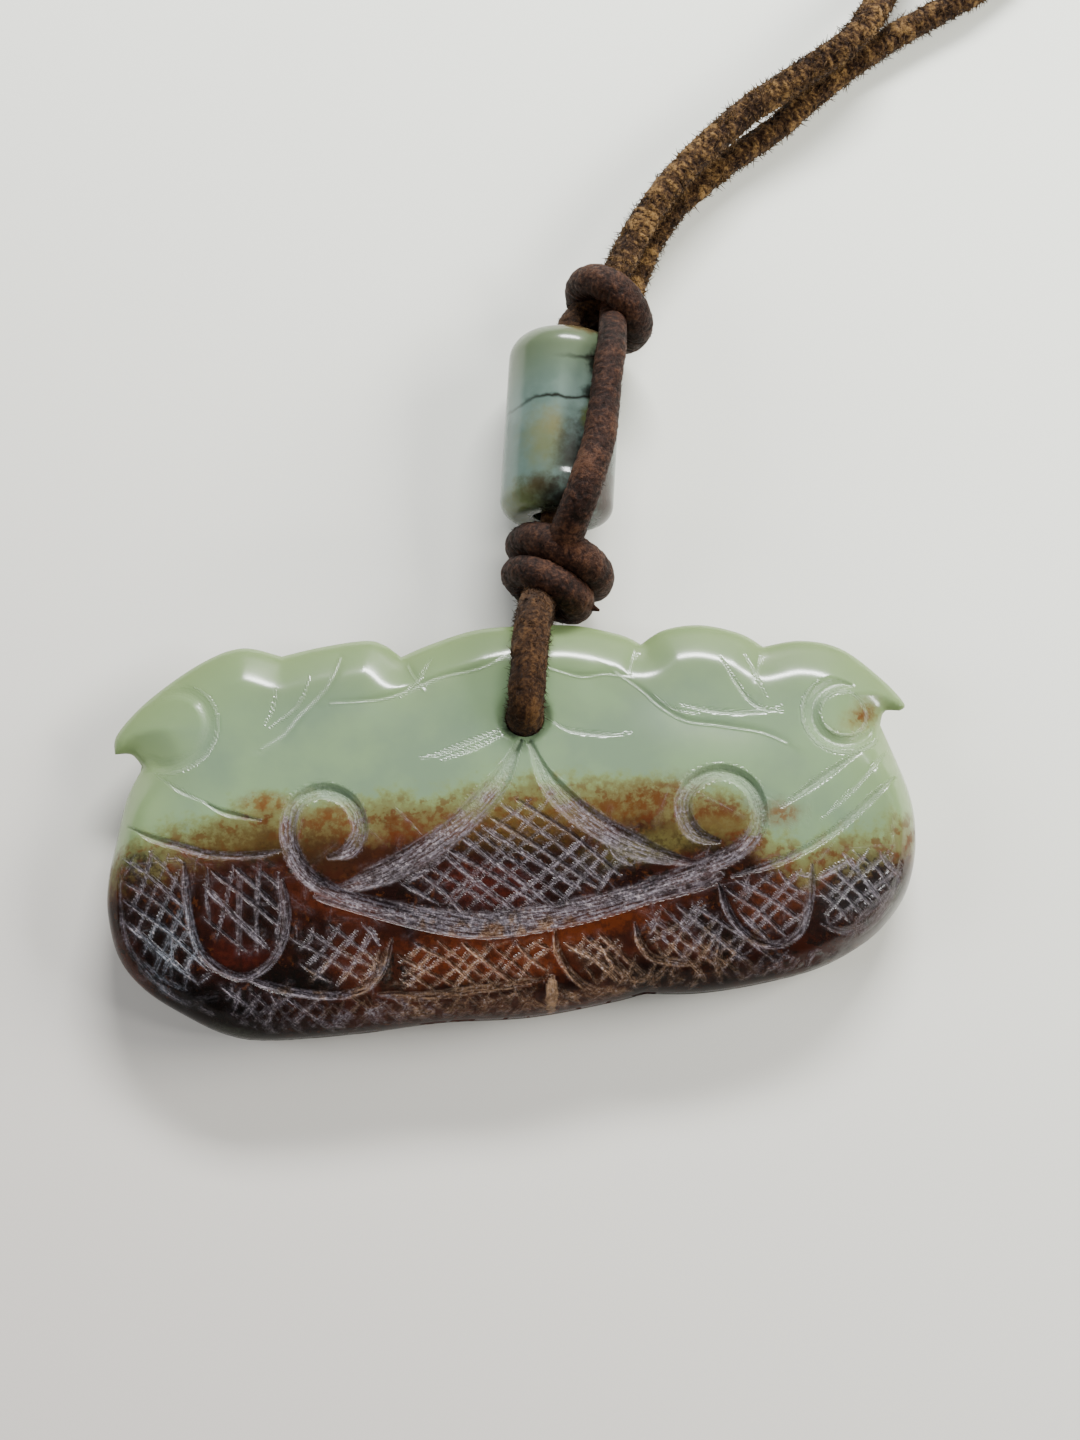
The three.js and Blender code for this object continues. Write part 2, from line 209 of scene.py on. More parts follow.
camera = bpy.data.objects.new("camera", bpy.data.cameras.new("camera"))
camera.data.sensor_width = 36.0
camera.data.lens = view["lens"]
camera.data.clip_start = 0.01
turned = Matrix.Rotation(math.radians(view["turn"]), 4, "Z")
pose = turned @ Matrix.Rotation(math.radians(view["tilt"]), 4, "X")
standpoint = Vector(view["target"]) * mm + pose @ Vector((0, 0, view["distance"] * mm))
camera.matrix_world = Matrix.Translation(standpoint) @ pose
bpy.context.scene.collection.objects.link(camera)
bpy.context.scene.camera = camera
print("camera set")


# thong: routes of its stretches, through the same points as the CAD's

thong = {"radius": 1.2, "sides": 40, "ringSpacing": 0.13, "coilSpacing": 0.5}
routes = {
    "loop": [
        (3.45, 17.15, 5.0), (3.0, 15.9, 5.6), (2.55, 14.2, 7.0), (2.25, 12.4, 7.75), (1.98, 10.4, 8.0),
        (1.75, 8.6, 7.85), (1.55, 7.4, 7.2), (1.5, 7.05, 6.0), (1.5, 7.1, 4.2), (1.52, 7.3, 2.7),
        (1.65, 8.3, 1.6), (1.9, 10.2, 1.4), (2.2, 12.6, 1.4), (2.85, 15.8, 2.1), (3.5, 17.2, 2.4),
    ],
    "bore": [
        (4.2, 19.8, 4.0), (4.65, 22.0, 4.1), (4.85, 23.8, 4.2), (5.6, 30.0, 4.2), (6.3, 35.6, 4.2),
        (6.75, 37.3, 4.0), (7.6, 38.7, 3.6), (9.0, 39.8, 3.4),
    ],
    "side": [
        (4.6, 19.2, 5.4), (5.6, 20.9, 7.7), (6.5, 22.5, 9.1), (7.3, 24.4, 9.45), (8.1, 26.7, 9.2),
        (8.8, 30.3, 8.95), (9.4, 33.6, 8.5), (9.75, 35.9, 7.3), (9.9, 37.5, 5.4), (10.1, 39.2, 4.0),
    ],
    "neckUpper": [
        (9.6, 39.6, 4.6), (10.37, 41.27, 4.6), (11.9, 44.3, 4.15), (13.3, 46.5, 4.05), (15.1, 48.8, 4.05),
        (17.1, 50.8, 4.0), (19.1, 52.7, 3.85), (21.3, 54.6, 3.7), (23.5, 56.0, 3.75), (25.5, 57.2, 3.9),
        (27.4, 58.3, 4.0), (29.3, 59.5, 4.05), (30.9, 61.0, 4.0), (32.2, 62.9, 3.6), (33.2, 64.9, 2.5),
        (34.5, 67.2, 1.6), (36.6, 69.5, 1.3), (39.4, 71.2, 1.3),
    ],
    "neckLower": [
        (10.5, 38.8, 2.0), (11.4, 40.65, 1.8), (12.4, 43.0, 1.4), (13.4, 45.2, 1.3), (14.7, 47.1, 1.3),
        (16.2, 48.8, 1.3), (18.0, 50.3, 1.3), (19.8, 51.6, 1.3), (21.6, 52.8, 1.3), (23.7, 54.2, 1.3),
        (25.6, 55.8, 1.3), (27.4, 57.2, 1.3), (29.0, 58.5, 1.3), (30.7, 59.7, 1.3), (32.5, 60.8, 1.3),
        (34.3, 61.9, 1.3), (36.3, 62.9, 1.3), (38.5, 64.0, 1.3), (40.8, 65.3, 1.3), (43.9, 67.9, 1.3),
        (47.0, 72.4, 1.3), (49.2, 78.0, 1.3), (50.0, 84.0, 1.3),
    ],
}
coil = {"centre": (27.0, 91.0), "outer": 20.35, "inner": 7.6, "pitch": 2.45, "height": 1.25,
        "knot": (27.2, 91.4, 2.6)}


def coilTurns(start, lead, easeIn):
    # the flat turns that a neck strand runs into, from the end of its route to the knot in the middle
    cx, cy = coil["centre"]
    fromAngle = math.atan2(start[1] - cy, start[0] - cx)
    fromRadius = math.hypot(start[0] - cx, start[1] - cy)
    zeroAngle = math.atan2(-7.0, 23.0)
    perRadian = 2 * coil["pitch"] / (2 * math.pi)

    def wound(angle):
        return coil["outer"] - lead * coil["pitch"] - perRadian * (angle - zeroAngle)

    lastAngle = zeroAngle + (wound(zeroAngle) - coil["inner"]) / perRadian
    points = []
    for angle in np.arange(fromAngle + 0.25, lastAngle, 0.25):
        extra = (fromRadius - wound(fromAngle)) * (1 - smooth(angle - fromAngle, 0, easeIn))
        radius = wound(angle) + extra
        points.append((cx + radius * math.cos(angle), cy + radius * math.sin(angle), coil["height"]))
    for share in (0.2, 0.4, 0.6, 0.8, 1.0):
        radius = coil["inner"] + (1.2 - coil["inner"]) * share
        angle = lastAngle + 2.6 * share
        points.append((cx + radius * math.cos(angle), cy + radius * math.sin(angle),
                       coil["height"] + (coil["knot"][2] - coil["height"]) * share ** 3))
    return points


def tubeFrames(path, reference=None):
    along = np.gradient(path, axis=0)
    along /= np.linalg.norm(along, axis=1)[:, None]
    if reference is not None:
        side = np.cross(along, np.array(reference, float))
        side /= np.linalg.norm(side, axis=1)[:, None]
        return along, side, np.cross(along, side)
    side = np.empty_like(along)
    last = np.cross(along[0], (0.0, 0.0, 1.0))
    for i, t in enumerate(along):
        last = last - t * last.dot(t)
        last /= np.linalg.norm(last)
        side[i] = last
    return along, side, np.cross(along, side)


def suedeRelief(run, turn, radius, wrinkle, lump, seed, creased):
    # long soft lumps and a fine nap, with ridges and creases across the thong or lines along it
    x, y = math.cos(turn) * radius, math.sin(turn) * radius
    lumps = noise.noise(Vector((x * 0.5, y * 0.5, run * 0.45 + seed)))
    sway = 0.25 * noise.noise(Vector((x * 0.7, y * 0.7, run * 0.8 + 5 * seed)))
    ridges = noise.noise(Vector((x * 0.75, y * 0.75, (run + sway) * 2.9 + 3 * seed)))
    nap = noise.noise(Vector((x * 4.0, y * 4.0, run * 5.0 - seed)))
    crease = max(0.0, 0.08 - abs(noise.noise(Vector((x * 0.8, y * 0.8, run * 1.3 - 2 * seed))))) / 0.08
    lines = noise.noise(Vector((x * 3.2, y * 3.2, run * 0.7 + seed)))
    grain = creased * (0.8 * ridges - 0.9 * crease) + (1 - creased) * lines
    return lump * lumps + wrinkle * (0.45 * nap + grain)


def tubeMesh(name, path, radii, sides, wrinkle, lump, seed, reference=None, creased=1.0):
    _, side, up = tubeFrames(path, reference)
    run = pathRun(path)
    last = len(path) - 1

    def place(u, v):
        i = np.rint(u * last).astype(int)
        turn = 2 * np.pi * v
        relief = np.array([suedeRelief(run[k], a, radii[k], wrinkle, lump, seed, creased)
                           for k, a in zip(i, turn)])
        # the relief fades where a closed ring meets itself
        if reference is not None:
            relief *= np.clip(np.minimum(u, 1 - u) * 20, 0, 1)
        reach = (radii[i] + relief)[:, None]
        points = path[i] + reach * (np.cos(turn)[:, None] * side[i] + np.sin(turn)[:, None] * up[i])
        return [points, relief / max(wrinkle, 1e-6)]

    return closeMesh(gridMesh(name, last, sides, place, ("raised",)))


def addFibres(mesh, path, radii, count, seed, length=(0.25, 0.8), thick=0.035, part=(0.0, 1.0)):
    # the loose fibres of split leather, as fine spikes that lean along the thong
    chance = random.Random(seed)
    along, side, up = tubeFrames(path)
    whole = bmesh.new()
    whole.from_mesh(mesh)
    for _ in range(count // 50):
        bm = bmesh.new()
        for _ in range(50):
            k = int(chance.uniform(*part) * (len(path) - 1))
            turn = chance.uniform(0, 2 * math.pi)
            outward = Vector(math.cos(turn) * side[k] + math.sin(turn) * up[k])
            sweep = Vector(-math.sin(turn) * side[k] + math.cos(turn) * up[k]) * chance.uniform(-0.9, 0.9)
            lean = Vector(along[k]) * chance.uniform(-1.3, 1.3)
            direction = (outward * chance.uniform(0.25, 1.0) + lean + sweep).normalized()
            size = chance.uniform(*length) * chance.uniform(0.5, 1.0)
            root = Vector(path[k]) + outward * (radii[k] - 0.05)
            turned = direction.to_track_quat("Z", "Y").to_matrix().to_4x4()
            bmesh.ops.create_cone(bm, cap_ends=True, segments=3, radius1=thick * mm,
                                  radius2=thick * 0.2 * mm, depth=size * mm,
                                  matrix=Matrix.Translation((root + direction * size * 0.5) * mm) @ turned)
        for vert in bm.verts:
            vert.co.z = max(vert.co.z, 0)  # none reaches into the table
        tuft = bpy.data.meshes.new("tuft")
        bm.to_mesh(tuft)
        bm.free()
        whole.from_mesh(tuft)
        bpy.data.meshes.remove(tuft)
    whole.to_mesh(mesh)
    whole.free()


def strandPath(points, spacing):
    path = smoothPath(points)
    return evenly(path, int(pathRun(path)[-1] / spacing) + 2)


# leather: a round thong cut from split hide. Raw suede is golden brown and hairy on the neck strands. Where
# it has rubbed, at the knots and the bead, it is dark red-brown, closed and faintly shiny.

def makeLeather(name, dark, middle, light, rough, sheen, paintedReliefShade=0.12):
    material, tree, shader, coords = newMaterial(name)
    raised = addNode(tree, "ShaderNodeAttribute", attribute_name="raised").outputs["Fac"]
    blotch = noiseOn(tree, coords, 2.6, 4.0)
    grain = noiseOn(tree, coords, 0.28, 4.0, 0.7)
    tone = plus(tree, times(tree, blotch, 0.3), times(tree, grain, 0.7))
    # painted highlight and shade: besides its own blotches and grain, the tone is lighter on raised ridges of
    # the relief and darker in its creases
    tone = plus(tree, tone, times(tree, raised, paintedReliefShade))
    colour = ramp(tree, tone, [(0.36, dark), (0.5, middle), (0.64, light)])
    bump = addNode(tree, "ShaderNodeBump", {"Height": grain, "Strength": 0.8, "Distance": 0.2 * mm})
    tree.links.new(colour, shader.inputs["Base Color"])
    tree.links.new(bump.outputs[0], shader.inputs["Normal"])
    tree.links.new(spread(tree, grain, 0.3, 0.7, rough + 0.1, rough - 0.1), shader.inputs["Roughness"])
    shader.inputs["Specular IOR Level"].default_value = 0.2
    shader.inputs["Sheen Weight"].default_value = sheen
    shader.inputs["Sheen Roughness"].default_value = 0.5
    return material


suede = makeLeather("raw suede leather", "1d110a", "43301d", "735834", 0.9, 0.03, 0.24)
wornLeather = makeLeather("worn suede leather", "110906", "27160f", "452c1d", 0.65, 0.0)
frontLeather = makeLeather("handled suede leather", "170d07", "2c1b0d", "4d351d", 0.85, 0.03, 0.15)

necks = {
    # which strand lies outside in the coil, how it eases into it, and its thinner radius near the knot
    "Upper": {"lead": 1, "easeIn": 1.0, "seed": 3.0, "thin": 1.08},
    "Lower": {"lead": 0, "easeIn": 0.8, "seed": 7.0, "thin": 0.98},
}
neckSurface = {"nap": 0.06, "sides": 32, "wrinkle": 0.13, "lump": 0.08, "fibres": 4200,
               "fibreLength": (0.25, 0.85), "fibreThick": 0.055}
neckPieces = {}
for name, neck in necks.items():
    route = routes["neck" + name]
    loose = strandPath(route, thong["ringSpacing"])
    turns = coilTurns(route[-1], neck["lead"], neck["easeIn"])
    wound = strandPath([route[-1], *turns], thong["coilSpacing"])
    path = np.vstack([loose, wound[1:]])
    swell = smooth(np.arange(len(path)), len(loose) * 0.6, len(loose))
    radii = neck["thin"] + (thong["radius"] - neckSurface["nap"] - neck["thin"]) * swell
    mesh = tubeMesh("neck" + name, path, radii, neckSurface["sides"], neckSurface["wrinkle"],
                    neckSurface["lump"], neck["seed"])
    shown = len(loose) / len(path)
    addFibres(mesh, path, radii, neckSurface["fibres"], int(neck["seed"]), length=neckSurface["fibreLength"],
              thick=neckSurface["fibreThick"], part=(0.02 * shown, 0.9 * shown))
    piece = addPiece("neck" + name, mesh, suede, "leather", "neck_strand_" + name.lower(), "cord_coil")
    neckPieces[name] = (piece, path)
print("neck strands wound")


heldStrands = {
    # radii from its first end to its last, how creased it is across, and its loose fibres
    "loop": {"leather": frontLeather, "radii": (1.3, 1.3), "wrinkle": 0.17, "creased": 0.35, "seed": 2.0,
             "fibres": 3200, "fibreLength": (0.25, 0.75), "hairy": (0.0, 1.0)},
    "bore": {"leather": frontLeather, "radii": (1.1, 1.1), "wrinkle": 0.12, "creased": 0.6, "seed": 4.0,
             "fibres": 700, "fibreLength": (0.15, 0.5), "hairy": (0.75, 1.0)},
    "side": {"leather": wornLeather, "radii": (1.35, 0.98), "wrinkle": 0.085, "creased": 1.0, "seed": 5.0,
             "fibres": 500, "fibreLength": (0.12, 0.35), "hairy": (0.0, 1.0)},
}
for name, held in heldStrands.items():
    path = strandPath(routes[name], thong["ringSpacing"])
    radii = np.linspace(*held["radii"], len(path))
    mesh = tubeMesh(name + "Strand", path, radii, thong["sides"], held["wrinkle"], 0.06, held["seed"],
                    creased=held["creased"])
    addFibres(mesh, path, radii, held["fibres"], int(held["seed"] * 10), length=held["fibreLength"],
              part=held["hairy"])
    addPiece(name + "Strand", mesh, held["leather"], "leather", name + "_strand")
print("loop and bead strands made")


# knots: each wrap is a closed ring of thong round the two strands

wraps = {
    "lowerKnot": [
        {"centre": (4.75, 19.3, 4.0), "lean": -30, "half": 2.95, "flat": 2.5, "radius": 1.36, "bow": 0.35},
        {"centre": (3.75, 17.35, 3.9), "lean": -30, "half": 2.4, "flat": 2.4, "radius": 1.28, "bow": 0.1,
         "tip": ((6.5, 15.85, 4.2), (7.45, 15.3, 4.4), 0.45)},
    ],
    "upperKnot": [
        {"centre": (9.75, 38.9, 4.0), "lean": -42, "half": 2.6, "flat": 2.5, "radius": 1.2, "bow": 0.75},
    ],
    "endKnot": [
        {"centre": (27.2, 91.4, 2.7), "lean": 31, "half": 1.8, "flat": 1.4, "radius": 1.25, "bow": 0.1},
    ],
}


def wrapMesh(name, wrap, seed):
    turn = np.linspace(0, 2 * np.pi, 121)
    lean = math.radians(wrap["lean"])
    side = np.array([math.cos(lean), math.sin(lean), 0])
    axis = np.array([-math.sin(lean), math.cos(lean), 0])
    path = (np.array(wrap["centre"]) + np.outer(np.cos(turn) * wrap["half"], side)
            + np.outer(np.sin(turn) * wrap["flat"], (0, 0, 1))
            + np.outer(wrap["bow"] * np.sin(turn), axis))
    radii = wrap["radius"] * (1 + 0.05 * np.sin(turn + seed))
    mesh = tubeMesh(name, path, radii, thong["sides"], 0.09, 0.08, seed, reference=axis)
    addFibres(mesh, path, radii, 400, int(seed * 10), length=(0.1, 0.3), thick=0.05)
    return mesh


def makeKnot(name, node, seed):
    bm = bmesh.new()
    for i, wrap in enumerate(wraps[name]):
        bm.from_mesh(wrapMesh(name + str(i), wrap, seed + i))
        if "tip" in wrap:
            # the cut end of the thong, just proud of the wrap
            root, point, width = (np.array(value) for value in wrap["tip"])
            turned = Vector(point - root).to_track_quat("Z", "Y").to_matrix().to_4x4()
            bmesh.ops.create_cone(bm, cap_ends=True, segments=24, radius1=width * mm,
                                  radius2=width * 0.2 * mm, depth=float(np.linalg.norm(point - root)) * mm,
                                  matrix=Matrix.Translation(Vector(root + point) / 2 * mm) @ turned)
    mesh = bpy.data.meshes.new(name)
    bm.to_mesh(mesh)
    bm.free()
    return addPiece(name, mesh, wornLeather, "leather", node)


lowerKnot = makeKnot("lowerKnot", "lower_knot", 1.0)
upperKnot = makeKnot("upperKnot", "upper_knot", 6.0)
endKnot = makeKnot("endKnot", "end_knot", 8.0)
print("knots tied")


# bead: a turned barrel with softly domed ends, an open bore, and one flat polished on its front

bead = {"foot": (4.7, 22.5, 4.2), "lean": 0.12, "length": 14.4, "radius": 4.2, "bore": 1.6,
        "headRound": 2.1, "footRound": 1.3, "boreRound": 0.35,
        "flatAt": 4.02, "flatTurn": 14, "flatFrom": 2.6, "flatTo": 9.0}


def beadProfile():
    r, length = bead["radius"], bead["length"]
    points = []

    def arc(cx, cz, radius, start, end, steps):
        for turn in np.radians(np.linspace(start, end, steps)):
            points.append((cx + radius * math.cos(turn), cz + radius * math.sin(turn)))

    arc(bead["bore"] + bead["boreRound"], bead["boreRound"], bead["boreRound"], 180, 270, 5)
    arc(r - bead["footRound"], bead["footRound"], bead["footRound"], -90, 0, 14)
    points.extend((r, z) for z in np.linspace(bead["footRound"], length - bead["headRound"], 40)[1:-1])
    arc(r - bead["headRound"], length - bead["headRound"], bead["headRound"], 0, 90, 16)
    arc(bead["bore"] + bead["boreRound"], length - bead["boreRound"], bead["boreRound"], 90, 180, 5)
    return points


def makeBead():
    bm = bmesh.new()
    ring = [bm.verts.new((x * mm, 0, z * mm)) for x, z in beadProfile()]
    edges = [bm.edges.new(pair) for pair in zip(ring, ring[1:] + ring[:1])]
    bmesh.ops.spin(bm, geom=ring + edges, cent=(0, 0, 0), axis=(0, 0, 1), angle=2 * math.pi, steps=144,
                   use_merge=True)
    bmesh.ops.remove_doubles(bm, verts=bm.verts, dist=1e-6)
    flat = math.radians(bead["flatTurn"])
    facing = Vector((math.sin(flat), -math.cos(flat), 0))
    for vert in bm.verts:
        z = vert.co.z / mm
        above = smooth(z, bead["flatFrom"] - 0.1, bead["flatFrom"])
        below = 1 - smooth(z, bead["flatTo"], bead["flatTo"] + 4)
        over = vert.co.dot(facing) - bead["flatAt"] * mm
        if over > 0:
            vert.co -= facing * over * (above * below)
    bmesh.ops.recalc_face_normals(bm, faces=bm.faces)
    for face in bm.faces:
        face.smooth = True
    lean = Matrix.Rotation(-math.atan(bead["lean"]), 4, "Z") @ Matrix.Rotation(math.radians(-90), 4, "X")
    bm.transform(Matrix.Translation(Vector(bead["foot"]) * mm) @ lean)
    mesh = bpy.data.meshes.new("bead")
    bm.to_mesh(mesh)
    bm.free()
    return mesh


# plaque: the same outline and heights as the CAD, on a grid fine enough for the hand carving

plaque = {
    "bellyTop": 7.4, "topThinning": 1.3, "endDrop": 0.7, "halfLength": 29.1, "upperBack": 2.9,
    "riseFrom": 0.3, "riseTo": 6.4, "rimShare": 0.42, "frontRound": 2.6, "backRound": 2.0,
    "hole": (1.5, 7.1), "holeRadius": 1.4, "columnsPerStep": 5, "shoulder": 2.8, "bend": 0.04,
    "gridStep": 0.11, "frontRings": (0.03, 0.1, 0.22, 0.38, 0.58, 0.85), "backStep": 0.25,
    "backRings": (0.06, 0.2, 0.45, 0.85),
}
upperRuns = [
    (3, [(27.2, 5.5), (27.6, 6.5), (28.7, 6.5)]),
    (11, [(28.7, 6.5), (29.1, 7.0), (27.6, 9.0), (24.9, 11.4), (22.0, 12.2), (19.2, 11.9)]),
    (7, [(19.2, 11.9), (17.6, 13.0), (14.8, 13.8), (12.1, 13.6), (10.3, 12.6)]),
    (13, [(10.3, 12.6), (8.9, 13.4), (5.6, 14.3), (1.9, 14.5), (-1.7, 14.4), (-5.1, 13.5), (-7.2, 12.7)]),
    (7, [(-7.2, 12.7), (-8.4, 13.7), (-9.8, 14.1), (-13.1, 13.8), (-15.9, 13.3)]),
    (11, [(-15.9, 13.3), (-18.8, 14.1), (-21.9, 13.1), (-25.7, 10.6), (-28.0, 8.2), (-28.2, 6.7)]),
    (3, [(-28.2, 6.7), (-27.0, 6.6), (-26.2, 5.6)]),
]
lowerRuns = [
    (23, [(27.2, 5.5), (28.9, 0.7), (29.1, -3.0), (28.3, -6.2), (26.9, -8.3), (24.8, -10.1), (21.4, -11.7),
          (17.0, -12.6), (12.7, -13.0), (8.8, -12.8)]),
    (32, [(8.8, -12.8), (6.3, -13.3), (0.6, -14.0), (-5.8, -14.0), (-11.5, -14.4), (-17.8, -14.5),
          (-21.0, -13.9), (-24.1, -12.2), (-26.7, -10.3), (-28.4, -8.0), (-29.1, -4.9), (-29.0, -2.4),
          (-28.4, 0.2), (-27.5, 3.4), (-26.2, 5.6)]),
]


def edgePoints(runs):
    pieces = []
    for steps, points in runs:
        made = evenly(smoothPath(points, 40), steps * plaque["columnsPerStep"] + 1)
        pieces.append(made[1:] if pieces else made)
    return np.vstack(pieces)


def frontHeight(x, y):
    return (plaque["bellyTop"] - plaque["topThinning"] * smooth(y, -2, 12)
            - plaque["endDrop"] * (x / plaque["halfLength"]) ** 2)


def backHeight(y):
    return plaque["upperBack"] * smooth(y, plaque["riseFrom"], plaque["riseTo"])


def rounding(inwards, width):
    left = 1 - np.minimum(inwards / width, 1)
    return np.sqrt(np.maximum(1 - left * left, 0))


def frontRise(y, inwards):
    # round along the base and the ends, but along the top an even slope up to a soft shoulder
    slope = inwards / plaque["shoulder"]
    level = (slope + 1 - np.sqrt((slope - 1) ** 2 + plaque["bend"])) / 2
    top = 0.14 * rounding(inwards, 0.8) + 0.86 * np.maximum(level, 0)
    base = rounding(inwards, plaque["frontRound"])
    return base + (top - base) * smooth(y, 1, 7)


def distanceTo(path, x, y):
    # how far each point is from a path, on which side of it (left is +) and how far along (0 to 1)
    run = pathRun(path)
    reach = np.full(x.shape, 1e9)
    side, along = np.zeros(x.shape), np.zeros(x.shape)
    for (ax, ay), (bx, by), start, end in zip(path, path[1:], run, run[1:]):
        dx, dy = bx - ax, by - ay
        t = np.clip(((x - ax) * dx + (y - ay) * dy) / (dx * dx + dy * dy + 1e-12), 0, 1)
        ex, ey = x - ax - t * dx, y - ay - t * dy
        far = np.hypot(ex, ey)
        nearer = far < reach
        reach[nearer] = far[nearer]
        side[nearer] = np.sign(dx * ey - dy * ex)[nearer]
        along[nearer] = ((start + t * (end - start)) / run[-1])[nearer]
    return reach, side, along


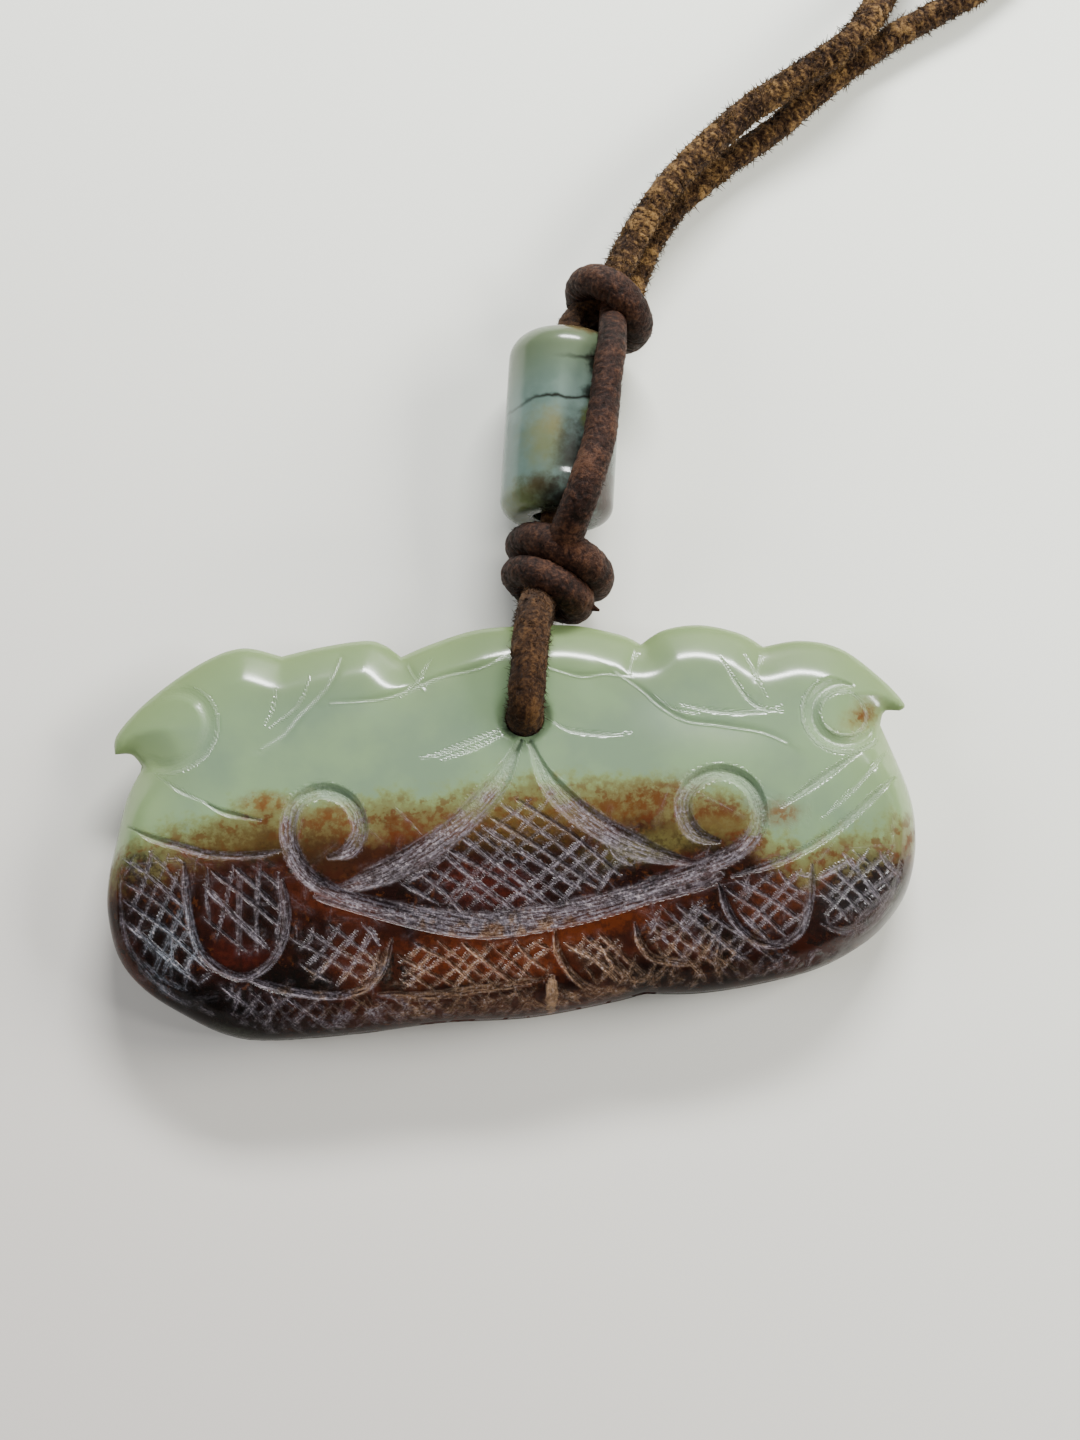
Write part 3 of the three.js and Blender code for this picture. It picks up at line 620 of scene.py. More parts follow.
# carving: every cut is a path with a width and a depth. "frost" is how rough the tool left its floor.
cuts = [
    # the two scrolls
    {"kind": "channel", "width": 1.15, "depth": 0.45, "frost": 1.0, "taper": 2.0, "paths": [
        [(-12.9, -2.4), (-11.4, -2.0), (-10.6, -0.5), (-11.3, 1.6), (-13.2, 2.5), (-15.1, 1.6), (-15.7, -0.7),
         (-14.8, -3.2), (-12.9, -4.8), (-10.2, -6.0), (-6.7, -7.1)],
        [(7.4, -6.6), (10.3, -5.7), (13.2, -4.8), (15.7, -3.8), (17.3, -2.4), (17.7, -0.6), (17.0, 1.2),
         (15.4, 2.1), (13.7, 1.8), (12.5, 0.6), (12.3, -0.9), (13.0, -2.3), (14.6, -2.9)],
    ]},
    # the bands that part below the hole
    {"kind": "channel", "width": 1.7, "depth": 0.38, "frost": 0.9, "taper": 5.0, "paths": [
        [(1.1, 5.4), (-0.2, 2.9), (-1.8, 1.0), (-4.4, -1.3), (-7.9, -3.3), (-11.2, -4.5), (-13.2, -4.9)],
        [(1.8, 5.2), (2.8, 2.3), (4.6, 0.0), (7.0, -1.9), (9.6, -3.4), (13.0, -4.5)],
    ]},
    # the crescent: a slope that deepens towards its crisp lower edge
    {"kind": "slope", "width": 1.6, "depth": 0.55, "frost": 1.0, "taper": 6.0, "paths": [
        [(-13.7, -5.4), (-9.5, -6.9), (-6.1, -8.0), (-2.6, -8.7), (1.6, -8.5), (5.9, -7.8), (9.5, -6.9),
         (13.1, -6.2), (14.5, -5.6)],
    ]},
    # petals along the base
    {"kind": "line", "width": 0.68, "depth": 0.36, "frost": 0.9, "taper": 1.5, "paths": [
        [(-23.1, -2.1), (-23.0, -4.8), (-22.5, -7.7), (-21.5, -9.3), (-19.5, -10.5), (-17.9, -10.1),
         (-16.6, -8.7), (-16.0, -6.6), (-16.2, -3.8)],
        [(-18.9, -10.7), (-16.0, -11.7), (-13.3, -12.2), (-11.1, -12.0), (-9.7, -10.9), (-8.7, -8.5)],
        [(14.4, -6.0), (15.0, -8.2), (16.3, -9.9), (18.0, -10.5), (19.8, -9.7), (20.7, -7.5), (21.1, -5.0)],
        [(2.7, -8.6), (2.8, -10.2), (3.9, -12.0), (5.6, -12.9), (8.4, -12.9)],
        [(8.3, -8.4), (8.6, -9.9), (9.6, -11.0), (12.7, -11.5)],
        [(14.2, -10.0), (13.9, -11.6), (14.2, -12.7)],
        [(1.6, -11.9), (0.0, -12.1), (-3.5, -12.4), (-7.0, -12.6), (-9.9, -12.3)],
        [(5.8, -9.7), (6.7, -11.2), (8.0, -12.6)],
    ]},
    # the upper edges of the hatched ends
    {"kind": "line", "width": 0.65, "depth": 0.3, "frost": 0.85, "taper": 3.0, "paths": [
        [(-27.1, 0.9), (-25.5, -0.1), (-23.1, -1.0), (-21.0, -1.7), (-17.8, -1.9), (-15.6, -1.6)],
        [(-21.5, 2.2), (-20.2, 1.4), (-17.6, 0.6)],
        [(27.6, 1.2), (25.6, -0.5), (22.9, -2.6), (19.6, -4.3), (15.3, -5.5)],
        [(25.2, 3.1), (22.2, 1.2), (19.2, -0.7)],
    ]},
    # the line inside the rim at both ends
    {"kind": "line", "width": 0.42, "depth": 0.18, "frost": 0.85, "taper": 4.0, "paths": [
        [(-27.6, -2.1), (-27.8, -4.2), (-27.5, -7.0), (-26.6, -8.9), (-25.6, -10.2), (-23.7, -11.7),
         (-21.3, -12.8)],
    ]},
    {"kind": "line", "width": 0.62, "depth": 0.36, "frost": 0.55, "taper": 2.5, "paths": [
        [(27.5, -4.9), (27.0, -6.6), (25.9, -8.3), (24.5, -9.4), (22.8, -9.7), (21.3, -9.2)],
    ]},
    # wings and leaves beside the hole: a polished bank that falls towards the left of its path
    {"kind": "bank", "width": 2.8, "depth": 0.18, "frost": 0.45, "taper": 4.0, "paths": [
        [(0.7, 11.9), (-1.5, 11.0), (-4.4, 10.5), (-6.6, 9.7), (-8.8, 9.1), (-12.4, 9.0)],
        [(9.4, 9.6), (7.5, 10.0), (5.7, 9.9), (3.4, 10.7)],
        [(20.0, 4.0), (18.3, 4.9), (15.4, 5.6), (13.0, 6.1), (11.2, 7.3), (9.9, 8.7), (8.2, 10.1)],
        [(-17.5, 5.9), (-15.9, 6.8), (-14.6, 8.3), (-13.3, 9.5), (-12.3, 10.8), (-11.6, 12.6)],
        [(-5.6, 9.6), (-6.4, 10.9), (-7.0, 12.4)],
        [(19.3, 11.6), (18.7, 10.2), (18.4, 9.0)],
        [(10.2, 12.3), (9.6, 11.2), (9.3, 10.0)],
    ]},
    # fine veins of the leaves, and whiskers
    {"kind": "line", "width": 0.32, "depth": 0.12, "frost": 0.45, "taper": 2.5, "paths": [
        [(0.1, 6.4), (-2.5, 5.5), (-4.7, 4.7), (-6.1, 4.5)],
        [(0.0, 5.9), (-2.2, 5.0), (-4.6, 4.2)],
        [(3.2, 6.9), (4.7, 5.9), (7.5, 5.4), (9.0, 5.5)],
        [(15.9, 11.0), (16.8, 9.0), (18.1, 7.1), (20.2, 6.4)],
        [(17.7, 11.1), (18.4, 9.3), (19.0, 7.6)],
        [(12.7, 7.4), (15.5, 6.7), (18.4, 6.5), (20.0, 6.9)],
        [(-5.0, 12.2), (-6.0, 10.4), (-7.4, 9.2)],
        [(-16.9, 7.4), (-15.2, 8.6), (-14.3, 9.7), (-13.8, 11.4)],
        [(-16.2, 10.6), (-16.5, 9.0), (-17.2, 7.6)],
        [(10.8, 8.3), (12.2, 7.1), (14.0, 6.6)],
        [(27.8, 3.8), (25.0, 0.8), (22.0, -1.8)],
        [(-25.0, 4.5), (-23.0, 3.0), (-21.5, 2.2)],
    ]},
    # the stem at the foot of the middle petal, left standing
    {"kind": "stem", "width": 0.8, "depth": 0.3, "frost": 1.0, "taper": 0.5, "paths": [
        [(2.3, -11.9), (2.1, -13.7)],
    ]},
    # the ringed cheek of each head
    {"kind": "ring", "width": 1.3, "depth": 0.14, "frost": 0.15, "centre": (-24.0, 8.1), "radius": 2.9,
     "span": (140, -150)},
    {"kind": "ring", "width": 0.3, "depth": 0.08, "frost": 0.5, "centre": (-24.0, 8.1), "radius": 3.5,
     "span": (60, -110)},
    {"kind": "ring", "width": 1.3, "depth": 0.36, "frost": 0.3, "centre": (24.4, 6.1), "radius": 2.3,
     "span": (70, 330)},
    {"kind": "ring", "width": 0.35, "depth": 0.08, "frost": 0.9, "centre": (24.4, 6.1), "radius": 3.0,
     "span": (120, 330)},
    {"kind": "ring", "width": 0.3, "depth": 0.08, "frost": 0.7, "centre": (24.4, 6.1), "radius": 1.7,
     "span": (-180, 180)},
]
hatching = [
    # outline of a hatched field, the two directions of its strokes and their spacing
    {"field": [(-8.0, -4.6), (-4.3, -2.3), (-1.4, 0.0), (0.8, 1.6), (3.6, -0.3), (6.2, -2.6), (9.0, -3.9),
               (6.0, -5.8), (1.7, -7.1), (-3.2, -7.1), (-6.7, -6.0)], "turns": (38, -40), "pitch": 1.05},
    {"field": [(-8.2, -8.7), (-3.3, -9.4), (2.3, -9.2), (2.1, -12.0), (-2.8, -12.3), (-7.9, -12.2)],
     "turns": (40, -38), "pitch": 0.9},
    {"field": [(3.2, -9.4), (5.8, -8.9), (8.5, -11.0), (12.7, -11.8), (13.6, -12.6), (8.3, -12.7),
               (4.9, -12.4)], "turns": (45, -38), "pitch": 0.95},
    {"field": [(8.7, -8.1), (13.0, -7.0), (15.0, -8.9), (16.9, -10.8), (21.8, -11.0), (18.9, -12.2),
               (14.7, -12.5), (12.7, -11.6), (9.9, -10.9)], "turns": (42, -40), "pitch": 0.9},
    {"field": [(14.6, -6.0), (17.4, -5.5), (21.1, -5.2), (20.6, -7.8), (19.5, -9.5), (17.7, -10.1),
               (16.0, -9.3)], "turns": (42, -38), "pitch": 1.05},
    {"field": [(-21.9, -2.7), (-16.4, -2.7), (-16.2, -6.6), (-17.3, -8.7), (-19.4, -9.3), (-21.6, -7.0)],
     "turns": (82, -48), "pitch": 1.2},
    {"field": [(-27.4, -1.0), (-23.4, -1.6), (-22.9, -6.9), (-21.2, -10.4), (-23.4, -11.2), (-25.7, -9.9),
               (-27.4, -6.6)], "turns": (64, -42), "pitch": 1.15},
    {"field": [(-15.8, -7.0), (-9.6, -7.7), (-9.3, -9.9), (-11.1, -11.5), (-13.9, -11.4), (-15.2, -9.5)],
     "turns": (48, -40), "pitch": 1.0},
    {"field": [(-21.2, -11.0), (-15.3, -12.3), (-8.4, -12.8), (1.3, -12.5), (10.0, -12.9), (10.0, -13.6),
               (1.6, -14.1), (-6.4, -14.3), (-13.3, -14.5), (-19.5, -13.9)],
     "turns": (45, -42), "pitch": 0.8},
    {"field": [(-26.0, -7.2), (-23.4, -7.6), (-22.6, -9.4), (-23.8, -10.6), (-25.4, -9.4)],
     "turns": (80,), "pitch": 1.1},
    {"field": [(21.5, -5.2), (24.5, -4.2), (27.4, -4.4), (27.0, -7.0), (24.5, -9.4), (21.5, -9.2)],
     "turns": (38, -48), "pitch": 1.05},
]
hatchCut = {"width": 0.37, "depth": 0.18, "frost": 1.0, "wander": 0.34}
scratches = {"count": 130, "length": (1.0, 4.0), "frost": 0.32}


def fieldStrokes(field, turn, pitch, chance):
    # parallel strokes across a field, each cut by hand: a little off its line, too long or too short
    corners = np.array(field, float)
    direction = np.array([math.cos(math.radians(turn)), math.sin(math.radians(turn))])
    across = np.array([-direction[1], direction[0]])
    offsets = corners @ across
    strokes = []
    at = offsets.min() + pitch * 0.5
    while at < offsets.max():
        hits = []
        for a, b in zip(corners, np.roll(corners, -1, axis=0)):
            fa, fb = a @ across - at, b @ across - at
            if fa * fb < 0:
                hits.append((a + (b - a) * fa / (fa - fb)) @ direction)
        hits.sort()
        for start, end in zip(hits[::2], hits[1::2]):
            start += chance.uniform(-0.25, 0.3)
            end += chance.uniform(-0.3, 0.25)
            if end - start > 0.7:
                bend, slant = (chance.uniform(-1, 1) * hatchCut["wander"] for _ in range(2))
                strokes.append(np.array([direction * start + across * (at - slant),
                                         direction * (start + end) / 2 + across * (at + bend),
                                         direction * end + across * (at + slant)]))
        at += pitch * chance.uniform(0.78, 1.22)
    return strokes


def handWork():
    # every cut of the front as (kind, path, width, depth, frost, taper)
    chance = random.Random(5)
    work = []
    for cut in cuts:
        rest = (cut["width"], cut["depth"], cut["frost"])
        if cut["kind"] == "ring":
            turn = np.radians(np.linspace(*cut["span"], 40))
            path = np.array(cut["centre"]) + cut["radius"] * np.stack([np.cos(turn), np.sin(turn)], 1)
            work.append(("line", path, *rest, 1.5))
            continue
        for points in cut["paths"]:
            work.append((cut["kind"], evenly(smoothPath(points), 6 * len(points)), *rest, cut["taper"]))
    for hatch in hatching:
        for turn in hatch["turns"]:
            for stroke in fieldStrokes(hatch["field"], turn, hatch["pitch"], chance):
                work.append(("hatch", stroke, hatchCut["width"] * chance.uniform(0.6, 1.5),
                             hatchCut["depth"] * chance.uniform(0.6, 1.2),
                             hatchCut["frost"] * chance.uniform(0.5, 1.1), 0.9))
    for _ in range(scratches["count"]):
        # stray scratches, mostly along the way the nearby strokes were cut
        x, y = chance.uniform(-27, 27), chance.uniform(-13, 0)
        turn = math.radians(chance.choice((40, -40, 5, 75)) + chance.uniform(-12, 12))
        half = 0.5 * chance.uniform(*scratches["length"])
        step = np.array([math.cos(turn) * half, math.sin(turn) * half])
        work.append(("hatch", np.array([[x, y] - step, [x, y] + step]), 0.2, 0.03,
                     scratches["frost"] * chance.uniform(0.4, 1.0), 1.0))
    return work


def carve(x, y, work):
    # depth of the carving and roughness of its floor at each point, and where the point lies on its cut
    depth, frost = np.zeros(x.shape), np.zeros(x.shape)
    across, along = np.zeros(x.shape), np.zeros(x.shape)
    for kind, path, width, deep, rough, taper in work:
        margin = width * 1.2 + 0.3
        low, high = path.min(0) - margin, path.max(0) + margin
        pick = np.nonzero((x > low[0]) & (x < high[0]) & (y > low[1]) & (y < high[1]))[0]
        if not len(pick):
            continue
        reach, side, share = distanceTo(path, x[pick], y[pick])
        length = pathRun(path)[-1]
        ends = np.minimum(share, 1 - share) * length
        fade = smooth(ends, -0.3, taper) * 0.75 + 0.25
        half = 0.5 * width * fade
        if kind == "stem":
            cut = -deep * np.sqrt(np.clip(1 - (reach / half) ** 2, 0, 1))
            floor = np.where(cut < 0, 0.9, 0)
        elif kind == "channel":
            cut = deep * (0.4 + 0.6 * fade) * (1 - smooth(reach, half * 0.6, half * 1.15))
            floor = 1 - smooth(reach, half * 0.8, half * 1.25)
        elif kind == "slope":
            breadth = np.sin(np.pi * share) ** 0.7 * width + 0.6
            rise = np.clip(1 - reach / breadth, 0, 1) ** 1.2
            wall = np.clip(1 - reach / 0.14, 0, 1)
            cut = deep * np.minimum(1, 0.3 + ends / 5) * np.where(side > 0, rise, wall)
            floor = np.where(side > 0, smooth(rise, 0.05, 0.3), wall)
        elif kind == "bank":
            rise = np.clip(1 - reach / width, 0, 1) ** 1.6
            wall = 1 - smooth(reach, 0.0, 0.55)
            cut = deep * fade * np.where(side > 0, rise, wall)
            floor = np.clip(1 - reach / 0.16, 0, 1)
        else:
            shape = np.clip(1 - (reach / np.maximum(half, 0.05)) ** 1.5, 0, 1)
            cut = deep * (0.35 + 0.65 * fade) * shape
            floor = smooth(shape, 0.05, 0.5)
        floor = rough * floor * (0.5 + 0.5 * fade)
        if kind == "hatch":
            # the tool skids beside its stroke
            floor = np.maximum(floor, 0.12 * np.clip(1 - reach / 0.4, 0, 1))
            floor = floor + 0.35 * floor * frost[pick]  # roughest where two strokes cross
        leads = floor > frost[pick]
        across[pick] = np.where(leads, reach * side, across[pick])
        along[pick] = np.where(leads, share * length, along[pick])
        depth[pick] = np.where(cut < 0, cut, np.maximum(depth[pick], cut))
        frost[pick] = np.maximum(frost[pick], floor)
    return depth, frost, across, along


boundary = [  # height of the line between green jade and brown skin, along the plaque
    (-30.0, -1.2), (-26.9, -0.6), (-23.3, 0.3), (-19.8, 1.1), (-17.4, 2.2), (-14.8, 1.6), (-10.6, 1.1),
    (-7.7, 1.5), (-4.2, 1.5), (-2.0, 2.0), (2.3, 2.3), (6.5, 1.7), (10.8, 1.6), (14.0, 0.8), (16.6, -0.4),
    (18.6, -3.0), (20.3, -3.6), (24.6, -3.2), (28.2, -2.0), (30.0, -1.5),
]


def inside(loop, x, y):
    turns = np.zeros(x.shape, int)
    for (ax, ay), (bx, by) in zip(loop, np.roll(loop, -1, axis=0)):
        turns += ((ay > y) != (by > y)) & (x < ax + (bx - ax) * (y - ay) / (by - ay + 1e-12))
    return turns % 2 == 1


def inwardsOf(loop, x, y):
    # shortest way from each point to the outline
    tree = kdtree.KDTree(len(loop))
    for index, (px, py) in enumerate(loop):
        tree.insert((px, py, 0), index)
    tree.balance()
    nearest = np.array([[index for _, index, _ in tree.find_n((a, b, 0), 3)] for a, b in zip(x, y)])
    here = np.stack([x, y], 1)
    found = np.full(len(x), 1e9)
    for k in range(3):
        for offset in (-1, 1):
            a, b = loop[nearest[:, k]], loop[(nearest[:, k] + offset) % len(loop)]
            d = b - a
            t = np.clip(((here - a) * d).sum(1) / np.maximum((d * d).sum(1), 1e-12), 0, 1)
            found = np.minimum(found, np.linalg.norm(here - a - t[:, None] * d, axis=1))
    return found


def nearestCut(work, x, y):
    # how far each point is from the nearest cut, less half the width of that cut
    near = np.full(x.shape, 1e9)
    for kind, path, width, *_ in work:
        low, high = path.min(0) - 2, path.max(0) + 2
        pick = np.nonzero((x > low[0]) & (x < high[0]) & (y > low[1]) & (y < high[1]))[0]
        if len(pick):
            half = 0.25 if kind in ("slope", "bank") else 0.5 * width
            near[pick] = np.minimum(near[pick], distanceTo(path, x[pick], y[pick])[0] - half)
    return near


def sheet(loop, rings, step, work=()):
    # flat triangles between the outline, rings that follow it inwards and a square grid that gets closer
    # along the cuts
    ahead = np.roll(loop, -1, axis=0) - np.roll(loop, 1, axis=0)
    normal = np.stack([-ahead[:, 1], ahead[:, 0]], 1) / np.linalg.norm(ahead, axis=1)[:, None]
    points = [loop]
    for ring in rings:
        line = loop + normal * ring
        points.append(line[inside(loop, *line.T) & (inwardsOf(loop, *line.T) > 0.9 * ring)])
    low, high = loop.min(0), loop.max(0)
    i, j = (axis.ravel() for axis in np.meshgrid(*(np.arange(0, size / step) for size in high - low)))
    grid = low + step * np.stack([i, j], 1)
    keep = inside(loop, *grid.T)
    if len(work):
        cut = nearestCut(work, *grid.T)
        coarse = (i % 4 == 0) & (j % 4 == 0)
        middle = (i % 2 == 0) & (j % 2 == 0)
        keep &= (cut < 0.1) | (middle & (cut < 0.8)) | coarse | (middle & (inwardsOf(loop, *grid.T) < 4.2))
    grid = grid[keep]
    points.append(grid[inwardsOf(loop, *grid.T) > rings[-1] + 0.7 * step])
    flat = [Vector(point) for point in np.vstack(points)]
    made, _, faces, *_ = delaunay_2d_cdt(flat, [], [list(range(len(loop)))], 1, 1e-5)
    return np.array(made), faces


def carvePlaque():
    work = handWork()
    loop = np.vstack([edgePoints(upperRuns), edgePoints(lowerRuns)[-2:0:-1]])
    front, frontFaces = sheet(loop, plaque["frontRings"], plaque["gridStep"], work)
    back, backFaces = sheet(loop, plaque["backRings"], plaque["backStep"])
    backFaces = [[corner + len(front) for corner in reversed(face)] for face in backFaces]
    x, y = np.vstack([front, back]).T
    isFront = np.arange(len(x)) < len(front)
    inwards = inwardsOf(loop, x, y)
    low, high = backHeight(y), frontHeight(x, y)
    rim = low + plaque["rimShare"] * (high - low)
    depth, frost, across, along = carve(x, y, work)
    uncut = smooth(inwards, 0.15, 1.5)  # no cut runs over the edge
    hole = np.hypot(x - plaque["hole"][0], y - plaque["hole"][1])
    worn = 0.45 * (1 - smooth(hole, 1.4, 2.1))  # the rim of the hole is worn round
    frontZ = rim + (high - rim) * frontRise(y, inwards) - depth * uncut - worn
    backZ = rim - (rim - low) * rounding(inwards, plaque["backRound"]) + worn
    z = np.where(isFront, frontZ, backZ)
    mesh = bpy.data.meshes.new("plaque")
    mesh.from_pydata(np.stack([x, y, z], 1) * mm, [], [*frontFaces, *backFaces])
    values = {"frost": np.where(isFront, frost * smooth(inwards, 0.05, 0.4), 0),
              "skin": np.interp(x, *zip(*boundary)) - y,
              "thin": 1 - np.clip(inwards / 5, 0, 1), "across": across, "along": along}
    for label, value in values.items():
        mesh.attributes.new(label, "FLOAT", "POINT").data.foreach_set("value", value.astype(np.float32))
    return closeMesh(drillHole(closeMesh(mesh)))


def drillHole(mesh):
    bm = bmesh.new()
    bmesh.ops.create_cone(bm, cap_ends=True, segments=96, radius1=plaque["holeRadius"] * mm,
                          radius2=plaque["holeRadius"] * mm, depth=20 * mm,
                          matrix=Matrix.Translation(Vector((*plaque["hole"], 4)) * mm))
    drillMesh = bpy.data.meshes.new("drill")
    bm.to_mesh(drillMesh)
    bm.free()
    drill = bpy.data.objects.new("drill", drillMesh)
    body = bpy.data.objects.new("body", mesh)
    for item in (drill, body):
        bpy.context.scene.collection.objects.link(item)
    cut = body.modifiers.new("hole", "BOOLEAN")
    cut.object = drill
    cut.solver = "EXACT"
    drilled = bpy.data.meshes.new_from_object(body.evaluated_get(bpy.context.evaluated_depsgraph_get()))
    bpy.data.objects.remove(body)
    bpy.data.objects.remove(drill)
    return drilled


# nephrite: close-grained, polished by hand to a soft wax-like gloss, and clear enough for light to soak in at
# its thin edges. The skin of the pebble is iron-stained: olive, then rust, then a deep red-brown. Where the
# tool has cut and nobody has polished, the stone is frosted and pale, with fine scratches along the cut.

skinPatches = [
    # colour, centre, half sizes, turn, softness and strength of each blotch of the skin
    ("5c3314", (-17.3, 1.9), (1.7, 0.7), 0, 0.6, 0.6),
    ("532f14", (-12.6, 0.2), (1.7, 1.2), 0, 0.5, 0.6),
    ("47260f", (9.6, 0.5), (4.2, 1.0), 12, 0.8, 0.75),
    ("452310", (15.2, -0.9), (2.1, 1.0), 0, 0.7, 0.85),
    ("5a3417", (19.2, -1.2), (1.2, 0.8), 0, 0.8, 0.8),
    ("4f4926", (11.5, -2.5), (5.0, 0.9), 12, 0.9, 0.75),
    ("4d3a17", (1.6, -0.6), (5.0, 1.6), 0, 0.9, 0.65),
    ("403419", (-19.5, -0.8), (4.4, 1.0), -6, 0.9, 0.75),
    ("2f2010", (-13.3, -1.7), (1.7, 1.5), 0, 0.9, 0.7),
    ("2b160c", (-10.4, -3.1), (2.2, 0.9), 25, 0.7, 0.7),
    ("4a2612", (-6.5, -0.6), (3.0, 0.8), 12, 0.5, 0.7),
    ("66562a", (25.5, 5.7), (1.6, 0.9), 35, 0.9, 0.5),
    ("4f2a0b", (25.9, 6.0), (1.0, 0.6), 35, 0.9, 0.95),
    ("421b0a", (-1.5, -10.2), (7.5, 1.7), -3, 0.5, 0.85),
    ("431c0a", (6.0, -8.3), (5.0, 0.9), 12, 0.5, 0.8),
    ("34110a", (-2.0, -5.0), (3.4, 1.6), -8, 0.5, 0.75),
    ("3a180b", (-12.4, -5.9), (3.8, 1.0), -18, 0.5, 0.8),
    ("2e0e08", (-19.4, -9.0), (2.4, 1.2), 0, 0.5, 0.85),
    ("2b110b", (-20.2, -5.2), (1.6, 3.0), 0, 0.5, 0.6),
    ("33150c", (-11.0, -10.2), (2.4, 1.3), 0, 0.5, 0.7),
    ("3f1d0e", (17.8, -7.6), (2.6, 1.6), 0, 0.5, 0.6),
    ("060504", (-15.4, -11.0), (3.4, 1.0), -12, 0.4, 0.95),
    ("060504", (-8.8, -10.8), (1.5, 1.3), -40, 0.4, 1.0),
    ("070605", (-21.0, -12.4), (4.8, 1.3), -22, 0.4, 0.95),
    ("080706", (-26.2, -2.6), (1.4, 1.5), 20, 0.5, 0.85),
    ("080706", (-25.4, -7.2), (1.7, 2.6), 25, 0.5, 0.8),
    ("090807", (24.2, -6.6), (3.2, 1.7), 25, 0.4, 0.9),
    ("0c0a08", (6.0, -11.0), (3.0, 0.9), -12, 0.5, 0.7),
    ("0a0907", (13.5, -9.6), (2.4, 0.8), -30, 0.5, 0.6),
    ("2e322a", (-20.6, -14.0), (2.4, 0.4), -15, 0.5, 0.6),
    ("4c4d44", (27.4, -7.6), (1.4, 0.9), 50, 0.5, 0.5),
    ("3a1e15", (-3.5, -13.5), (9.5, 0.8), -1, 0.9, 0.8),
    ("0a0806", (-18.0, -6.2), (1.3, 2.4), -12, 0.9, 0.8),
    ("0a0806", (-14.7, -8.8), (1.3, 1.2), 0, 0.9, 0.7),
    ("150a07", (4.6, -4.6), (2.6, 1.3), -20, 0.9, 0.7),
    ("8a6f55", (2.2, -12.9), (0.4, 1.0), -7, 0.2, 0.9),
]


